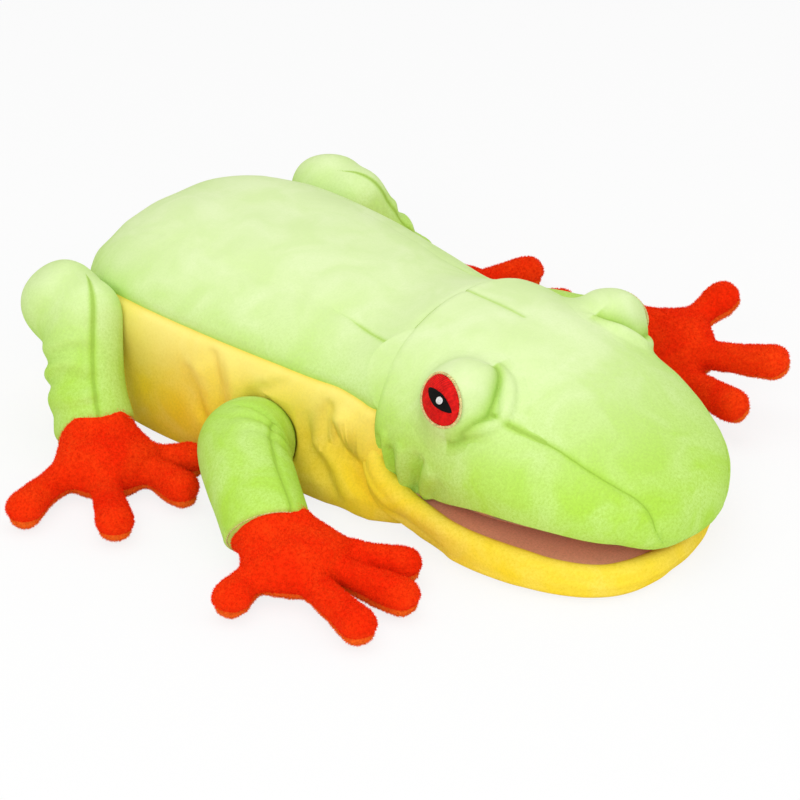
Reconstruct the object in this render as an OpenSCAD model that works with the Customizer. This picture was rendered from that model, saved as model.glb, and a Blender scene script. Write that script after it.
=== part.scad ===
// Plush tree-frog hand puppet: sewn skins over fill, a glove lining and a mouth that opens.
// The frog faces -Y, its left side is +X, and it rests on the table at Z = 0.

/* [Body] */
// Length from the nodding axis at the neck to the rear hem
body_l = 200; // [190:1:212]
// Width across the flanks
body_w = 146; // [138:1:154]
// Height of the back above the table
body_h = 91; // [88:1:96]
// Height at which the flanks are widest
flank_z = 43; // [40:1:46]
// Width of the neck
neck_w = 122; // [116:1:126]
// Radius of the rounded neck end about the nodding axis
neck_r = 41; // [39:0.5:42]
// Height of the nodding axis
neck_z = 46; // [45:0.5:48]

/* [Hand space] */
// Width of the space for the hand
hand_w = 84; // [78:1:90]
// Height of the space for the hand
hand_h = 38; // [34:1:42]
// Height of the middle of the rear opening
opening_z = 33; // [30:1:36]
// Wall of cloth and fill round the rear opening
opening_wall = 5; // [4.5:0.5:6]
// Length of the bound hem at the rear opening
hem_l = 5; // [4:0.5:7]

/* [Head] */
// Length from the nodding axis to the tip of the snout
head_l = 134.5; // [130:0.5:141]
// Width across the cheeks
head_w = 131; // [127:1:136]
// Height of the crown above the table
head_h = 88; // [85:1:92]
// Angle that the head's rear edge laps over the neck, from the top of the neck forwards
head_lap = 17; // [15:1:19]
// Height of the mouth corners
mouth_z = 20; // [19:0.5:21]
// Distance of the mouth corners in front of the nodding axis
mouth_back = 22; // [21:0.5:24]
// Angle of the upper lip above level
upper_slope = 1.7; // [1.4:0.1:2.2]

/* [Jaw] */
// Length of the jaw from its rear edge to the chin
jaw_l = 104; // [99:0.5:108]
// Width of the jaw
jaw_w = 142; // [138:1:146]
// Angle of the lower lip below level, with the puppet at rest
lower_slope = 4.9; // [4.6:0.1:5.2]

/* [Eyes] */
// Distance of each eye from the middle
eye_x = 47; // [44:0.5:49]
// Distance of each eye in front of the nodding axis
eye_ahead = 46; // [43:0.5:49]
// Height of the middle of each eye dome
eye_z = 66; // [64:0.5:68]
// Radius of each eye dome
eye_r = 19; // [17.5:0.5:20]
// Half-width of the embroidered iris, as an angle on the dome
iris_half = 30; // [27:1:33]

/* [Front legs] */
// Thickness of the arm
arm_d = 41; // [38:1:43]
// Thickness of the arm at the wrist
wrist_d = 36; // [34:0.5:37]
// Distance of the shoulder behind the nodding axis
shoulder_back = 52; // [48:1:56]
// Height of the shoulder
shoulder_z = 26; // [24:1:30]
// How far the wrist lies outside the shoulder
arm_out = 37; // [33:1:42]
// How far the wrist lies in front of the shoulder
arm_ahead = 46; // [42:1:50]
// How far the left wrist is held above the right one
left_raise = 6; // [4:0.5:8]
// How far the left wrist reaches ahead of the right one
left_reach = 8; // [5:0.5:10]
// How far the left hand is rolled outwards, in degrees
left_roll = 30; // [26:1:33]
// How far the left hand is tipped up, in degrees
left_tip = 16; // [14:1:20]
// How far the left hand is turned in, in degrees
left_turn = 5; // [2:1:8]

/* [Hind legs] */
// Thickness of the thigh
thigh_d = 39; // [36:1:41]
// Thickness of the shin
shin_d = 36; // [34:1:38]
// Distance of the hip behind the nodding axis
hip_back = 149; // [145:1:153]
// Height of the hip
hip_z = 46; // [44:1:48]
// Height of the top of the folded knee
knee_top = 79; // [76:1:82]

/* [Hands and feet] */
// Length of the palm from the wrist
palm_l = 31; // [29:0.5:33]
// Width of the palm
palm_w = 49; // [46:1:52]
// Thickness of a finger or toe at its pad
pad_d = 21; // [19.5:0.5:22]
// Thickness of a finger or toe between the palm and its pad
digit_d = 18.5; // [17.5:0.5:19.5]
// Height of the seam between the upper cloth and the sole
sole_seam = 6; // [5:0.5:7]

/* [Cloth] */
// Thickness of the plush with its pile
plush_t = 2; // [1.6:0.1:2.4]
// Thickness of the lining cloth
lining_t = 1.2; // [1:0.1:1.5]
// Thickness of the stiffening boards in the mouth
board_t = 1.5; // [1.2:0.1:1.8]
// Running clearance between pieces that move
clearance = 0.5; // [0.4:0.05:0.7]
// Seating gap between pieces that are sewn or laid together
seat = 0.2; // [0.15:0.05:0.3]

/* [Hidden] */

lime = [0.66, 0.93, 0.36];
yellow = [0.98, 0.84, 0.32];
orange_red = [0.90, 0.26, 0.07];
sole_orange = [0.95, 0.42, 0.16];
lining_grey = [0.75, 0.74, 0.70];
fill_white = [0.96, 0.95, 0.92];
salmon = [0.80, 0.52, 0.42];
board_brown = [0.66, 0.54, 0.40];
iris_red = [0.82, 0.10, 0.06];
thread_black = [0.05, 0.05, 0.05];
thread_cream = [0.95, 0.88, 0.66];

// The nodding axis is placed so that the snout and the rear hem lie equally far from the origin.
neck_y = (head_l - body_l) / 2;
mouth_y = neck_y - mouth_back;
up = [0, 0, 1];

// Cubic through a list of equal rows, at station t
function spline(rows, t) =
    let (
        last = len(rows) - 1,
        k = min(floor(t), last - 1),
        u = t - k,
        p0 = rows[max(k - 1, 0)],
        p1 = rows[k],
        p2 = rows[k + 1],
        p3 = rows[min(k + 2, last)]
    )
    0.5 * (2 * p1 + (p2 - p0) * u + (2 * p0 - 5 * p1 + 4 * p2 - p3) * u * u
        + (3 * p1 - p0 - 3 * p2 + p3) * u * u * u);

function signed_pow(v, e) = sign(v) * pow(abs(v), e);
function unit(v) = v / norm(v);
function mix(a, b, t) = a + (b - a) * t;
function mirrored(p) = [-p[0], p[1], p[2]];
function steps(from, to, count) = [for (i = [0:count]) mix(from, to, i / count)];
function reverse(list) = [for (i = [len(list) - 1:-1:0]) list[i]];

// Triangles over a grid of points, closed round its columns if wrap is set
function grid_faces(rows, cols, wrap, base = 0) = [
    for (i = [0:rows - 2], j = [0:cols - (wrap ? 1 : 2)])
        let (
            a = base + i * cols + j,
            b = base + i * cols + (j + 1) % cols,
            c = base + (i + 1) * cols + (j + 1) % cols,
            d = base + (i + 1) * cols + j
        )
        each [[a, b, c], [a, c, d]]
];

// Closed solid of triangles, with its faces turned outwards whichever way they were listed
module solid(points, faces) {
    shares = [for (f = faces) points[f[0]] * cross(points[f[1]], points[f[2]])];
    volume = shares * [for (f = faces) 1];
    polyhedron(points, volume > 0 ? [for (f = faces) reverse(f)] : faces);
}

// Solid through a list of rings, capped at both ends
module loft(rings) {
    n = len(rings[0]);
    top = (len(rings) - 1) * n;
    first_cap = [for (j = [1:n - 2]) [0, j + 1, j]];
    last_cap = [for (j = [1:n - 2]) [top, top + j, top + j + 1]];
    solid([for (ring = rings) each ring], concat(grid_faces(len(rings), n, true), first_cap, last_cap));
}

// Layer between an outer and an inner grid of points, closed at its edges
module layer(outer, inner, wrap = false) {
    rows = len(outer);
    cols = len(outer[0]);
    back = rows * cols;
    last_row = (rows - 1) * cols;
    ends = [
        for (j = [0:cols - (wrap ? 1 : 2)])
            let (k = (j + 1) % cols, d = last_row + j, c = last_row + k)
            each [[j, back + j, back + k], [j, back + k, k], [d, c, back + c], [d, back + c, back + d]]
    ];
    sides = wrap ? [] : [
        for (i = [0:rows - 2])
            let (a = i * cols, d = a + cols, b = d - 1, c = b + cols)
            each [[a, d, back + d], [a, back + d, back + a], [b, back + b, back + c], [b, back + c, c]]
    ];
    solid(
        concat([for (row = outer) each row], [for (row = inner) each row]),
        concat(
            grid_faces(rows, cols, wrap),
            [for (f = grid_faces(rows, cols, wrap, back)) reverse(f)],
            ends,
            sides
        )
    );
}

// Ring of n points round a centre, square to dir, with half-sizes a and b
function ring(centre, dir, ref, a, b, n) =
    let (u = unit(cross(dir, ref)), v = cross(dir, u))
    [for (i = [0:n - 1]) centre + a * cos(360 * i / n) * u + b * sin(360 * i / n) * v];

function bezier(p, t) =
    pow(1 - t, 3) * p[0] + 3 * pow(1 - t, 2) * t * p[1] + 3 * (1 - t) * t * t * p[2] + pow(t, 3) * p[3];
function bezier_dir(p, t) =
    unit(pow(1 - t, 2) * (p[1] - p[0]) + 2 * (1 - t) * t * (p[2] - p[1]) + t * t * (p[3] - p[2]));

// Rings of a stuffed limb along a path, from its round root to an end that stops at share stop of the path
limb_sides = 10;
limb_swell = 0.3;
root_turns = [-72, -38];
function limb_rings(path, radii, ref, inset, stop = 1, count = 6) =
    let (root_dir = bezier_dir(path, 0), root_r = radii[0] - inset)
    concat(
        [
            for (f = root_turns)
                ring(path[0] + root_r * sin(f) * root_dir, root_dir, ref,
                    root_r * cos(f), root_r * cos(f), limb_sides)
        ],
        [
            for (t = steps(0, stop, count))
                let (r = spline(radii, t * (len(radii) - 1)) - inset)
                ring(bezier(path, t), bezier_dir(path, t), ref, r, r, limb_sides)
        ]
    );

// Faceted ball that holds a round ball of radius r clear of its flats, to cut a socket
ball_sides = 16;
ball_step = 22.5;
module ball(centre, r) {
    out = r / (cos(180 / ball_sides) * cos(ball_step / 2));
    turns = [for (f = [-78.75:ball_step:78.75]) f];
    loft([
        for (f = turns)
            ring(centre + out * sin(f) * up, up, [0, 1, 0], out * cos(f), out * cos(f), ball_sides)
    ]);
}

// Body. A section is a rounded arch over a flatter belly; the top of its front end is round about the
// nodding axis.
neck_span = 40;
belly_sink = 6;
// Share of the length, share of the width, share of the height, roundness above and below
body_shape = [
    [0.120, 0.860, 0.905, 2.0, 6],
    [0.276, 0.920, 0.940, 2.1, 6.5],
    [0.444, 0.975, 0.975, 2.25, 6.5],
    [0.607, 1.000, 0.990, 2.4, 6.5],
    [0.750, 0.985, 1.000, 2.4, 6],
    [0.867, 0.920, 0.955, 2.3, 5],
    [0.950, 0.785, 0.845, 2.2, 3.2]
];
sewn_l = body_l - hem_l;
throat_round = 4;
neck_row = [neck_y, neck_w / 2, neck_z + neck_r, -belly_sink, neck_z, 2, throat_round];
opening_row = [
    neck_y + sewn_l, hand_w / 2 + opening_wall, opening_z + hand_h / 2 + opening_wall,
    opening_z - hand_h / 2 - opening_wall, opening_z, 2.6, 2.6
];
body_rows = concat(
    [neck_row],
    [
        for (s = body_shape)
            [neck_y + s[0] * sewn_l, s[1] * body_w / 2, s[2] * body_h, -belly_sink, flank_z, s[3], s[4]]
    ],
    [opening_row]
);
body_end = len(body_rows) - 1;
body_stations = concat([-1, -0.6, -0.25], [0.25], steps(1, body_end - 2, 5), [6.5, 7, 7.5, 8]);

function body_row(t) = t >= 0 ? spline(body_rows, t) :
    [
        neck_y - neck_r * sin(-t * neck_span), neck_w / 2 * cos(t * neck_span),
        neck_z + neck_r * cos(t * neck_span), -belly_sink, neck_z, 2, throat_round
    ];
function arch_point(row, a, inset) =
    let (e = 2 / (sin(a) >= 0 ? row[5] : row[6]), reach = sin(a) >= 0 ? row[2] - row[4] : row[4] - row[3])
    [
        (row[1] - inset) * signed_pow(cos(a), e),
        row[0],
        max(inset, row[4] + (reach - inset) * signed_pow(sin(a), e))
    ];
function body_point(t, a, inset) = arch_point(body_row(t), a, inset);

// Space for the hand, from the neck to the rear opening
neck_wall = 8;
neck_hand_w = 2 * (neck_w / 2 * cos(neck_span) - neck_wall);
hand_round = 2.6;
function hand_point(t, a, outset) =
    let (
        share = (t + 1) / (body_end + 1),
        half_w = mix(min(neck_hand_w, hand_w), hand_w, min(1, 3 * share)) / 2,
        mid_z = mix(neck_z, opening_z, share)
    )
    [
        (half_w + outset) * signed_pow(cos(a), 2 / hand_round),
        body_row(t)[0],
        mid_z + (hand_h / 2 + outset) * signed_pow(sin(a), 2 / hand_round)
    ];

// Seams of the skin, as angles round a section: flank seams low on the sides, back seams over the shoulders
flank_seam = 9;
rear_seam_rise = 9;
back_seam = 46;
function flank_angle(t) = flank_seam + rear_seam_rise * pow(max(0, t / body_end), 3);

module body_skin(low, high, count) {
    shares = steps(0, 1, count);
    layer(
        [for (t = body_stations) [for (s = shares) body_point(t, mix(low(t), high(t), s), 0)]],
        [for (t = body_stations) [for (s = shares) body_point(t, mix(low(t), high(t), s), plush_t)]]
    );
}

module back_centre_panel() {
    color(lime) body_skin(function (t) back_seam, function (t) 180 - back_seam, 6);
}

module back_side_panel_left() {
    color(lime) difference() {
        body_skin(function (t) flank_angle(t), function (t) back_seam, 3);
        ball(hip, socket_r(thigh_d));
    }
}

module back_side_panel_right() {
    mirror([1, 0, 0]) back_side_panel_left();
}

// A limb swells a little past its round root, so its socket is wider by the swell
function socket_r(d) = d / 2 + limb_swell + clearance;
module limb_sockets() {
    for (side = [1, -1]) {
        ball(side_point(shoulder, side), socket_r(arm_d));
        ball(side_point(hip, side), socket_r(thigh_d));
    }
}

// Above the throat the neck stays round about the nodding axis, to leave room for the cheeks
throat_z = 15;
cheek_room = 50;
module neck_clearing(inset) {
    turns = steps(-78, 78, 10);
    difference() {
        translate([-body_w / 2, neck_y - cheek_room, throat_z])
            cube([body_w, cheek_room - 2, neck_z - throat_z]);
        loft([
            for (f = turns)
                let (r = (neck_r - inset) * cos(f))
                ring([(neck_w / 2 - inset) * sin(f), neck_y, neck_z], [1, 0, 0], up, r, r, ball_sides)
        ]);
    }
}

module belly_panel() {
    color(yellow) difference() {
        body_skin(function (t) 180 - flank_angle(t), function (t) 360 + flank_angle(t), 14);
        limb_sockets();
        neck_clearing(0);
    }
}

// Fill and lining share their stations, so that they lie face to face
lining_turns = steps(0, 337.5, 15);
fill_gap = 1;
module body_fill() {
    color(fill_white) difference() {
        layer(
            [for (t = body_stations) [for (a = lining_turns) body_point(t, a, plush_t + fill_gap)]],
            [for (t = body_stations) [for (a = lining_turns) hand_point(t, a, lining_t + seat)]],
            true
        );
        limb_sockets();
        neck_clearing(plush_t + seat);
    }
}

module glove_lining() {
    color(lining_grey) layer(
        [for (t = body_stations) [for (a = lining_turns) hand_point(t, a, lining_t)]],
        [for (t = body_stations) [for (a = lining_turns) hand_point(t, a, 0)]],
        true
    );
}

// Bound edge: a rolled band behind the ends of the skin and the lining
hem_roll = 1;
module rear_hem() {
    turns = steps(0, 1, 3);
    function edge(s, a, outset) =
        let (p = hand_point(body_end, a, outset))
        [p[0], p[1] + seat + s * (hem_l - seat), p[2]];
    function roll(s) = hem_roll * sqrt(1 - pow(2 * s - 1, 2) * 0.9);
    color(lime) layer(
        [for (s = turns) [for (a = lining_turns) edge(s, a, opening_wall + roll(s))]],
        [for (s = turns) [for (a = lining_turns) edge(s, a, 0)]],
        true
    );
}

// Head. A section is an arch from lip to lip; the rear edge laps over the neck, round about the same axis.
// Share of the length, share of the width, share of the height, height of the widest place above the lip
head_shape = [
    [0.245, 0.975, 0.985, 20],
    [0.404, 1.000, 0.935, 14],
    [0.549, 0.965, 0.830, 10.5],
    [0.693, 0.880, 0.700, 8.5],
    [0.823, 0.730, 0.580, 7],
    [0.917, 0.535, 0.485, 6],
    [0.975, 0.310, 0.405, 5],
    [1.000, 0.060, 0.340, 3.5]
];
head_round = 2.15;
lap_r = neck_r + clearance + plush_t;
lap_w = neck_w + 2 * (clearance + plush_t);
function upper_lip(y) = mouth_z + (mouth_y - y) * tan(upper_slope);
function lower_lip(y) = mouth_z - (mouth_y - y) * tan(lower_slope);
head_rows = concat(
    [[
        neck_y - lap_r * sin(head_lap), lap_w / 2 * cos(head_lap), neck_z + lap_r * cos(head_lap), neck_z, 2
    ]],
    [
        for (s = head_shape)
            let (y = neck_y - s[0] * head_l)
            [y, s[1] * head_w / 2, s[2] * head_h, upper_lip(y) + s[3], head_round]
    ]
);
head_end = len(head_rows) - 1;
head_stations = concat([0, 0.4], steps(1, head_end, 11));

// A point at share v of the way from the left lip over the crown to the right lip
function head_point(t, v, inset, lift = 0) =
    let (
        row = spline(head_rows, t),
        e = 2 / row[4],
        reach = row[2] - row[3],
        drop = row[3] - upper_lip(row[0]) - lift,
        low = -asin(min(1, signed_pow(drop / reach, row[4] / 2))),
        a = mix(low, 180 - low, v)
    )
    [
        (row[1] - min(inset, row[1] / 2)) * signed_pow(cos(a), e),
        row[0],
        row[3] + (reach - inset) * signed_pow(sin(a), e)
    ];
// Half-width between the cheeks at the lip, and the place of a station along the head
function lip_half(t, inset) = head_point(t, 0, inset)[0];
function head_y(t) = spline(head_rows, t)[0];

cheek_seam = 0.31;
cheek_steps = 5;
crown_steps = 6;
module head_skin(low, high, count) {
    layer(
        [for (t = head_stations) [for (v = steps(low, high, count)) head_point(t, v, 0)]],
        [for (t = head_stations) [for (v = steps(low, high, count)) head_point(t, v, plush_t)]]
    );
}

module crown_panel() {
    color(lime) head_skin(cheek_seam, 1 - cheek_seam, crown_steps);
}

module cheek_panel_left() {
    color(lime) head_skin(0, cheek_seam, cheek_steps);
}

module cheek_panel_right() {
    mirror([1, 0, 0]) cheek_panel_left();
}

// Layers of the upper mouth, counted up from the lip plane
roof_top = lining_t;
upper_board_low = roof_top + seat;
upper_board_top = upper_board_low + board_t;
pocket_low = upper_board_top + seat;
mouth_stations = steps(1.1, head_end - 0.3, 9);
across = steps(-1, 1, 4);

module upper_sheet(stations, low, high, inset) {
    function place(t, s, rise) = [s * lip_half(t, inset), head_y(t), upper_lip(head_y(t)) + rise];
    layer(
        [for (t = stations) [for (s = across) place(t, s, high)]],
        [for (t = stations) [for (s = across) place(t, s, low)]]
    );
}

module mouth_roof() {
    color(salmon) upper_sheet(mouth_stations, 0, roof_top, plush_t + seat);
}

board_margin = 8;
module upper_mouth_board() {
    color(board_brown)
        upper_sheet(steps(1.4, head_end - 2.4, 6), upper_board_low, upper_board_top, board_margin);
}

// Finger pocket: a flat closed sleeve on the upper board
pocket_w = 76;
pocket_h = 19;
pocket_back = 44;
pocket_l = 62;
pocket_round = 3;
pocket_sides = 14;
function flat_ring(y, half_w, half_h, mid_z, n) = [
    for (i = [0:n - 1])
        let (a = 360 * i / n)
        [
            half_w * signed_pow(cos(a), 2 / pocket_round), y,
            mid_z + half_h * signed_pow(sin(a), 2 / pocket_round)
        ]
];
// Rings of a pocket from its mouth to its closed end, drawn in over the last fifth
pocket_taper = [[0, 1], [0.35, 0.99], [0.7, 0.93], [0.9, 0.78], [1, 0.6]];
function pocket_rings(back, length, half_w, half_h, mid_z, inset) = [
    for (s = pocket_taper)
        let (y = neck_y - back - s[0] * (length - inset))
        flat_ring(y, half_w * s[1] - inset, half_h * mix(0.75, 1, (s[1] - 0.6) / 0.4) - inset,
            mid_z(y), pocket_sides)
];
function finger_mid(y) = upper_lip(y) + pocket_low + pocket_h / 2;
module finger_pocket() {
    function rings(inset) =
        pocket_rings(pocket_back, pocket_l, pocket_w / 2, pocket_h / 2, function (y) finger_mid(y), inset);
    color(lining_grey) loft(concat(reverse(rings(0)), rings(lining_t)));
}

// Fill of the head, from in front of the neck: an arch over the finger pocket that closes ahead of it
arch_round = 4;
function arch_half(y) = let (ahead = neck_y - y) lookup(ahead, [
    [neck_r * 0.85, neck_w / 2 * 0.84],
    [pocket_back - 1, pocket_w / 2 + 1.4],
    [pocket_back + pocket_l * 0.6, pocket_w / 2 + 1.2],
    [pocket_back + pocket_l + 10, pocket_w / 2 * 0.8],
    [head_l, 1]
]);
function arch_top(y) = let (ahead = neck_y - y) lookup(ahead, [
    [neck_r * 0.85, neck_z + neck_r * 0.66],
    [pocket_back - 1, upper_lip(y) + pocket_low + pocket_h + 6],
    [pocket_back + pocket_l + 10, upper_lip(y) + pocket_low + pocket_h + 1],
    [pocket_back + pocket_l + 16, upper_lip(y) + pocket_low + 3],
    [head_l, upper_lip(y) + pocket_low + 1]
]);
module head_fill() {
    ts = steps(1.2, head_end - 0.9, 9);
    vs = steps(0, 1, 12);
    skin_gap = plush_t + fill_gap;
    function under(t, v) =
        let (y = head_y(t), low = upper_lip(y) + pocket_low)
        [
            min(arch_half(y), lip_half(t, skin_gap) - 2) * signed_pow(cos(180 * v), 2 / arch_round), y,
            low + (arch_top(y) - low) * signed_pow(sin(180 * v), 2 / arch_round)
        ];
    color(fill_white) layer(
        [for (t = ts) [for (v = vs) head_point(t, v, skin_gap, pocket_low)]],
        [for (t = ts) [for (v = vs) under(t, v)]]
    );
}

// Eyes. Each is a padded dome on the side of the crown, with an embroidered patch facing out and up.
eye_face = unit([0.86, 0, 0.42]);
eye_centre = [eye_x, neck_y - eye_ahead, eye_z];
eye_sides = 14;
function dome_point(rise, angle, turn) =
    let (
        level = unit(cross(up, eye_face)),
        upright = cross(eye_face, level),
        dir = cos(angle) * eye_face + sin(angle) * (cos(turn) * level + sin(turn) * upright)
    )
    eye_centre + (eye_r + rise) * dir;
// Ring on the dome whose angle from the middle of the patch is reach(turn)
function dome_ring(rise, reach, n) =
    [for (i = [0:n - 1]) dome_point(rise, reach(360 * i / n), 360 * i / n)];

module head_core() {
    vs = concat(
        steps(0, cheek_seam, cheek_steps), steps(cheek_seam, 1 - cheek_seam, crown_steps),
        steps(1 - cheek_seam, 1, cheek_steps)
    );
    shares = [for (i = [0:len(vs) - 1]) if (i == 0 || vs[i] > vs[i - 1]) vs[i]];
    loft([for (t = head_stations) [for (v = shares) head_point(t, v, -seat)]]);
}

module eye_dome(side) {
    color(lime) on_side(side) difference() {
        loft([for (f = [10:22:164]) dome_ring(0, function (turn) f, eye_sides)]);
        head_core();
    }
}

// Crescent fold of cloth in front of and below the dome
lid_r = 4.2;
// Close to the patch below it, and down on the skin in front of the dome
function lid_reach(turn) = 73 + 25 * cos(1.8 * (205 - min(205, max(105, -turn))));
module eyelid(side) {
    arc = steps(-255, -95, 9);
    function lid_size(turn) = lid_r * sqrt(max(0.05, 1 - pow((turn + 175) / 85, 2)));
    function lid_centre(turn) = dome_point(lid_r * 0.3, lid_reach(turn), turn);
    color(lime) on_side(side) difference() {
        loft([
            for (turn = arc)
                ring(lid_centre(turn), unit(lid_centre(turn + 1) - lid_centre(turn - 1)), eye_face,
                    lid_size(turn), lid_size(turn), 8)
        ]);
        head_core();
        loft([for (f = [10:22:164]) dome_ring(seat, function (turn) f, eye_sides)]);
    }
}

// Flat patch of thread on the dome, between two heights and inside the outline reach(turn)
module thread_patch(low, high, reach, n) {
    inner = 0.45;
    loft([
        dome_ring(low, function (turn) inner * reach(turn), n),
        dome_ring(low, reach, n),
        dome_ring(high, reach, n),
        dome_ring(high, function (turn) inner * reach(turn), n)
    ]);
}
// Height of the first stitches over the dome, and thickness of a layer of thread
thread_low = 0.5;
thread_t = 0.8;
outline_w = 4;
iris_tall = 1.12;
function iris_reach(turn) = iris_half * mix(1, iris_tall, abs(sin(turn)));
// Slanted lens: two arcs that meet in points
pupil_slant = 44;
function pupil_reach(turn) =
    let (half = iris_half * 0.66, thin = 0.38)
    half * thin / sqrt(pow(thin * cos(turn - pupil_slant), 2) + pow(sin(turn - pupil_slant), 2));

module iris(side) {
    color(iris_red) on_side(side)
        thread_patch(thread_low, thread_low + thread_t, function (turn) iris_reach(turn), eye_sides);
}

module eye_outline(side) {
    turns = [for (i = [0:eye_sides - 1]) 360 * i / eye_sides];
    bands = [0.4, 2.2, outline_w];
    function line(rise) = [for (k = bands) [for (a = turns) dome_point(rise, iris_reach(a) + k, a)]];
    color(thread_cream) on_side(side) layer(line(thread_low + thread_t), line(thread_low), true);
}

module pupil(side) {
    low = thread_low + thread_t + seat;
    color(thread_black) on_side(side)
        thread_patch(low, low + thread_t * 0.6, function (turn) pupil_reach(turn), eye_sides);
}

glint_half = 4;
module glint(side) {
    low = thread_low + 1.6 * thread_t + 2 * seat;
    color("white") on_side(side)
        thread_patch(low, low + thread_t * 0.5, function (turn) glint_half, 10);
}

// Jaw. A shallow bowl from lip to lip, flat where the chin rests on the table.
jaw_shape = [
    [0.00, 0.862], [0.12, 0.960], [0.27, 1.000], [0.47, 0.955], [0.67, 0.845], [0.82, 0.675],
    [0.925, 0.465], [0.98, 0.25], [1.00, 0.06]
];
jaw_gap = 5;
jaw_y = mouth_y - jaw_gap;
jaw_sink = 3;
jaw_round = 5;
jaw_rows = [for (s = jaw_shape) [jaw_y - s[0] * jaw_l, s[1] * jaw_w / 2]];
jaw_end = len(jaw_rows) - 1;
jaw_stations = steps(0, jaw_end, 10);
// The rear edge leans forward under the throat, and the lip is drawn in above the widest place
jaw_lean = 1;
lean_stations = 3;
lip_tuck = 0.06;
function jaw_point(t, v, inset) =
    let (
        row = spline(jaw_rows, t),
        rim = lower_lip(row[0]),
        a = 180 * v,
        z = max(inset, rim - (rim + jaw_sink - inset) * signed_pow(sin(a), 2 / jaw_round)),
        half = (row[1] - min(inset, row[1] / 2)) * (1 - lip_tuck * pow(cos(a), 8))
    )
    [
        half * signed_pow(cos(a), 2 / jaw_round),
        row[0] - jaw_lean * (rim - z) * max(0, 1 - t / lean_stations),
        z
    ];

module chin_panel() {
    vs = steps(0, 1, 12);
    color(yellow) layer(
        [for (t = jaw_stations) [for (v = vs) jaw_point(t, v, 0)]],
        [for (t = jaw_stations) [for (v = vs) jaw_point(t, v, plush_t)]]
    );
}

// Layers of the lower mouth, counted down from the lip plane
floor_low = lining_t;
lower_board_top = floor_low + seat;
lower_board_low = lower_board_top + board_t;
thumb_top = lower_board_low + seat;

module lower_sheet(stations, top, low, inset) {
    function place(t, s, depth) =
        let (p = jaw_point(t, 0, inset))
        [s * p[0], p[1], lower_lip(p[1]) - depth];
    layer(
        [for (t = stations) [for (s = across) place(t, s, top)]],
        [for (t = stations) [for (s = across) place(t, s, low)]]
    );
}

module mouth_floor() {
    color(salmon) lower_sheet(steps(0.9, jaw_end - 0.3, 8), 0, floor_low, plush_t + 3 * seat);
}

module lower_mouth_board() {
    color(board_brown)
        lower_sheet(steps(1, jaw_end - 2.4, 6), lower_board_top, lower_board_low, board_margin);
}

// Thumb pocket: a flat closed sleeve under the lower board
thumb_w = 44;
thumb_l = 52;
thumb_back = mouth_back + jaw_gap + 13;
thumb_floor = plush_t + 2 * seat;
function thumb_half_h(y) = (lower_lip(y) - thumb_top - thumb_floor) / 2;
function thumb_mid(y) = thumb_floor + thumb_half_h(y);
function thumb_rings(inset) = [
    for (s = pocket_taper)
        let (y = neck_y - thumb_back - s[0] * (thumb_l - inset))
        flat_ring(y, thumb_w / 2 * s[1] - inset, thumb_half_h(y) * mix(0.8, 1, (s[1] - 0.6) / 0.4) - inset,
            thumb_mid(y), pocket_sides)
];
module thumb_pocket() {
    color(lining_grey) loft(concat(reverse(thumb_rings(0)), thumb_rings(lining_t)));
}

// Fill of the jaw: a horseshoe round the thumb pocket, closed at the chin
module jaw_fill() {
    skin_gap = plush_t + 3 * fill_gap;
    side_ts = steps(2.1, 4.2, 4);
    module lobe() {
        function side(t, s, z) =
            let (p = jaw_point(t, 0, skin_gap), inner = thumb_w / 2 + seat)
            [mix(inner, p[0] - 4 * (1 - z), s), p[1],
                mix(thumb_floor, lower_lip(p[1]) - thumb_top, z)];
        layer(
            [for (t = side_ts) [for (s = [0, 0.5, 1]) side(t, s, 1)]],
            [for (t = side_ts) [for (s = [0, 0.5, 1]) side(t, s, 0)]]
        );
    }
    chin_ts = steps(4.1, jaw_end - 1.2, 5);
    function chin(t, s, z) =
        let (p = jaw_point(t, 0, skin_gap))
        [s * (p[0] - 4 * (1 - z)), p[1], mix(thumb_floor, lower_lip(p[1]) - thumb_top, z)];
    color(fill_white) {
        lobe();
        mirror([1, 0, 0]) lobe();
        layer(
            [for (t = chin_ts) [for (s = across) chin(t, s, 1)]],
            [for (t = chin_ts) [for (s = across) chin(t, s, 0)]]
        );
    }
}

// Limbs, drawn for the left side and mirrored for the right
module on_side(side) {
    if (side > 0) children();
    else mirror([1, 0, 0]) children();
}
function side_point(p, side) = side > 0 ? p : mirrored(p);

// Front leg: a bent sleeve from a round shoulder to the cuff over the wrist
shoulder_out = 5;
shoulder = [body_w / 2 + shoulder_out, neck_y + shoulder_back, shoulder_z];
wrist = [shoulder[0] + arm_out, shoulder[1] - arm_ahead, wrist_d / 2 - 0.5];
hand_turn = -76;
hand_dir = [cos(hand_turn), sin(hand_turn), 0];
// The right elbow is bent up; the left arm lies flatter and holds its hand off the table
function side_wrist(side) = wrist + (side > 0 ? [0, -left_reach, left_raise] : [0, 0, 0]);
function arm_path(side) =
    let (end = side_wrist(side), bend = side > 0 ? -4 : 12)
    [shoulder, shoulder + [20, -6, bend / 2], end + [-2, 19, bend], end];
arm_radii = [arm_d / 2, arm_d / 2 + limb_swell, (arm_d + wrist_d) / 4 + limb_swell, wrist_d / 2];
palm_ball = wrist_d / 2 - plush_t - clearance;
// Shares of the path at which a cuff and the fill in it end, short of the middle of the joint
cuff_stop = 0.9;
fill_stop = 0.84;

module arm_sleeve(side) {
    outer = limb_rings(arm_path(side), arm_radii, up, 0, cuff_stop);
    inner = limb_rings(arm_path(side), arm_radii, up, plush_t, cuff_stop);
    color(lime) on_side(side) loft(concat(outer, reverse(inner)));
}

// Fill stops short of the round root of the hand that turns in the cuff
module arm_fill(side) {
    color(fill_white) on_side(side) difference() {
        loft(limb_rings(arm_path(side), arm_radii, up, plush_t + fill_gap, fill_stop));
        ball(side_wrist(side), palm_ball + clearance);
    }
}

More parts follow.
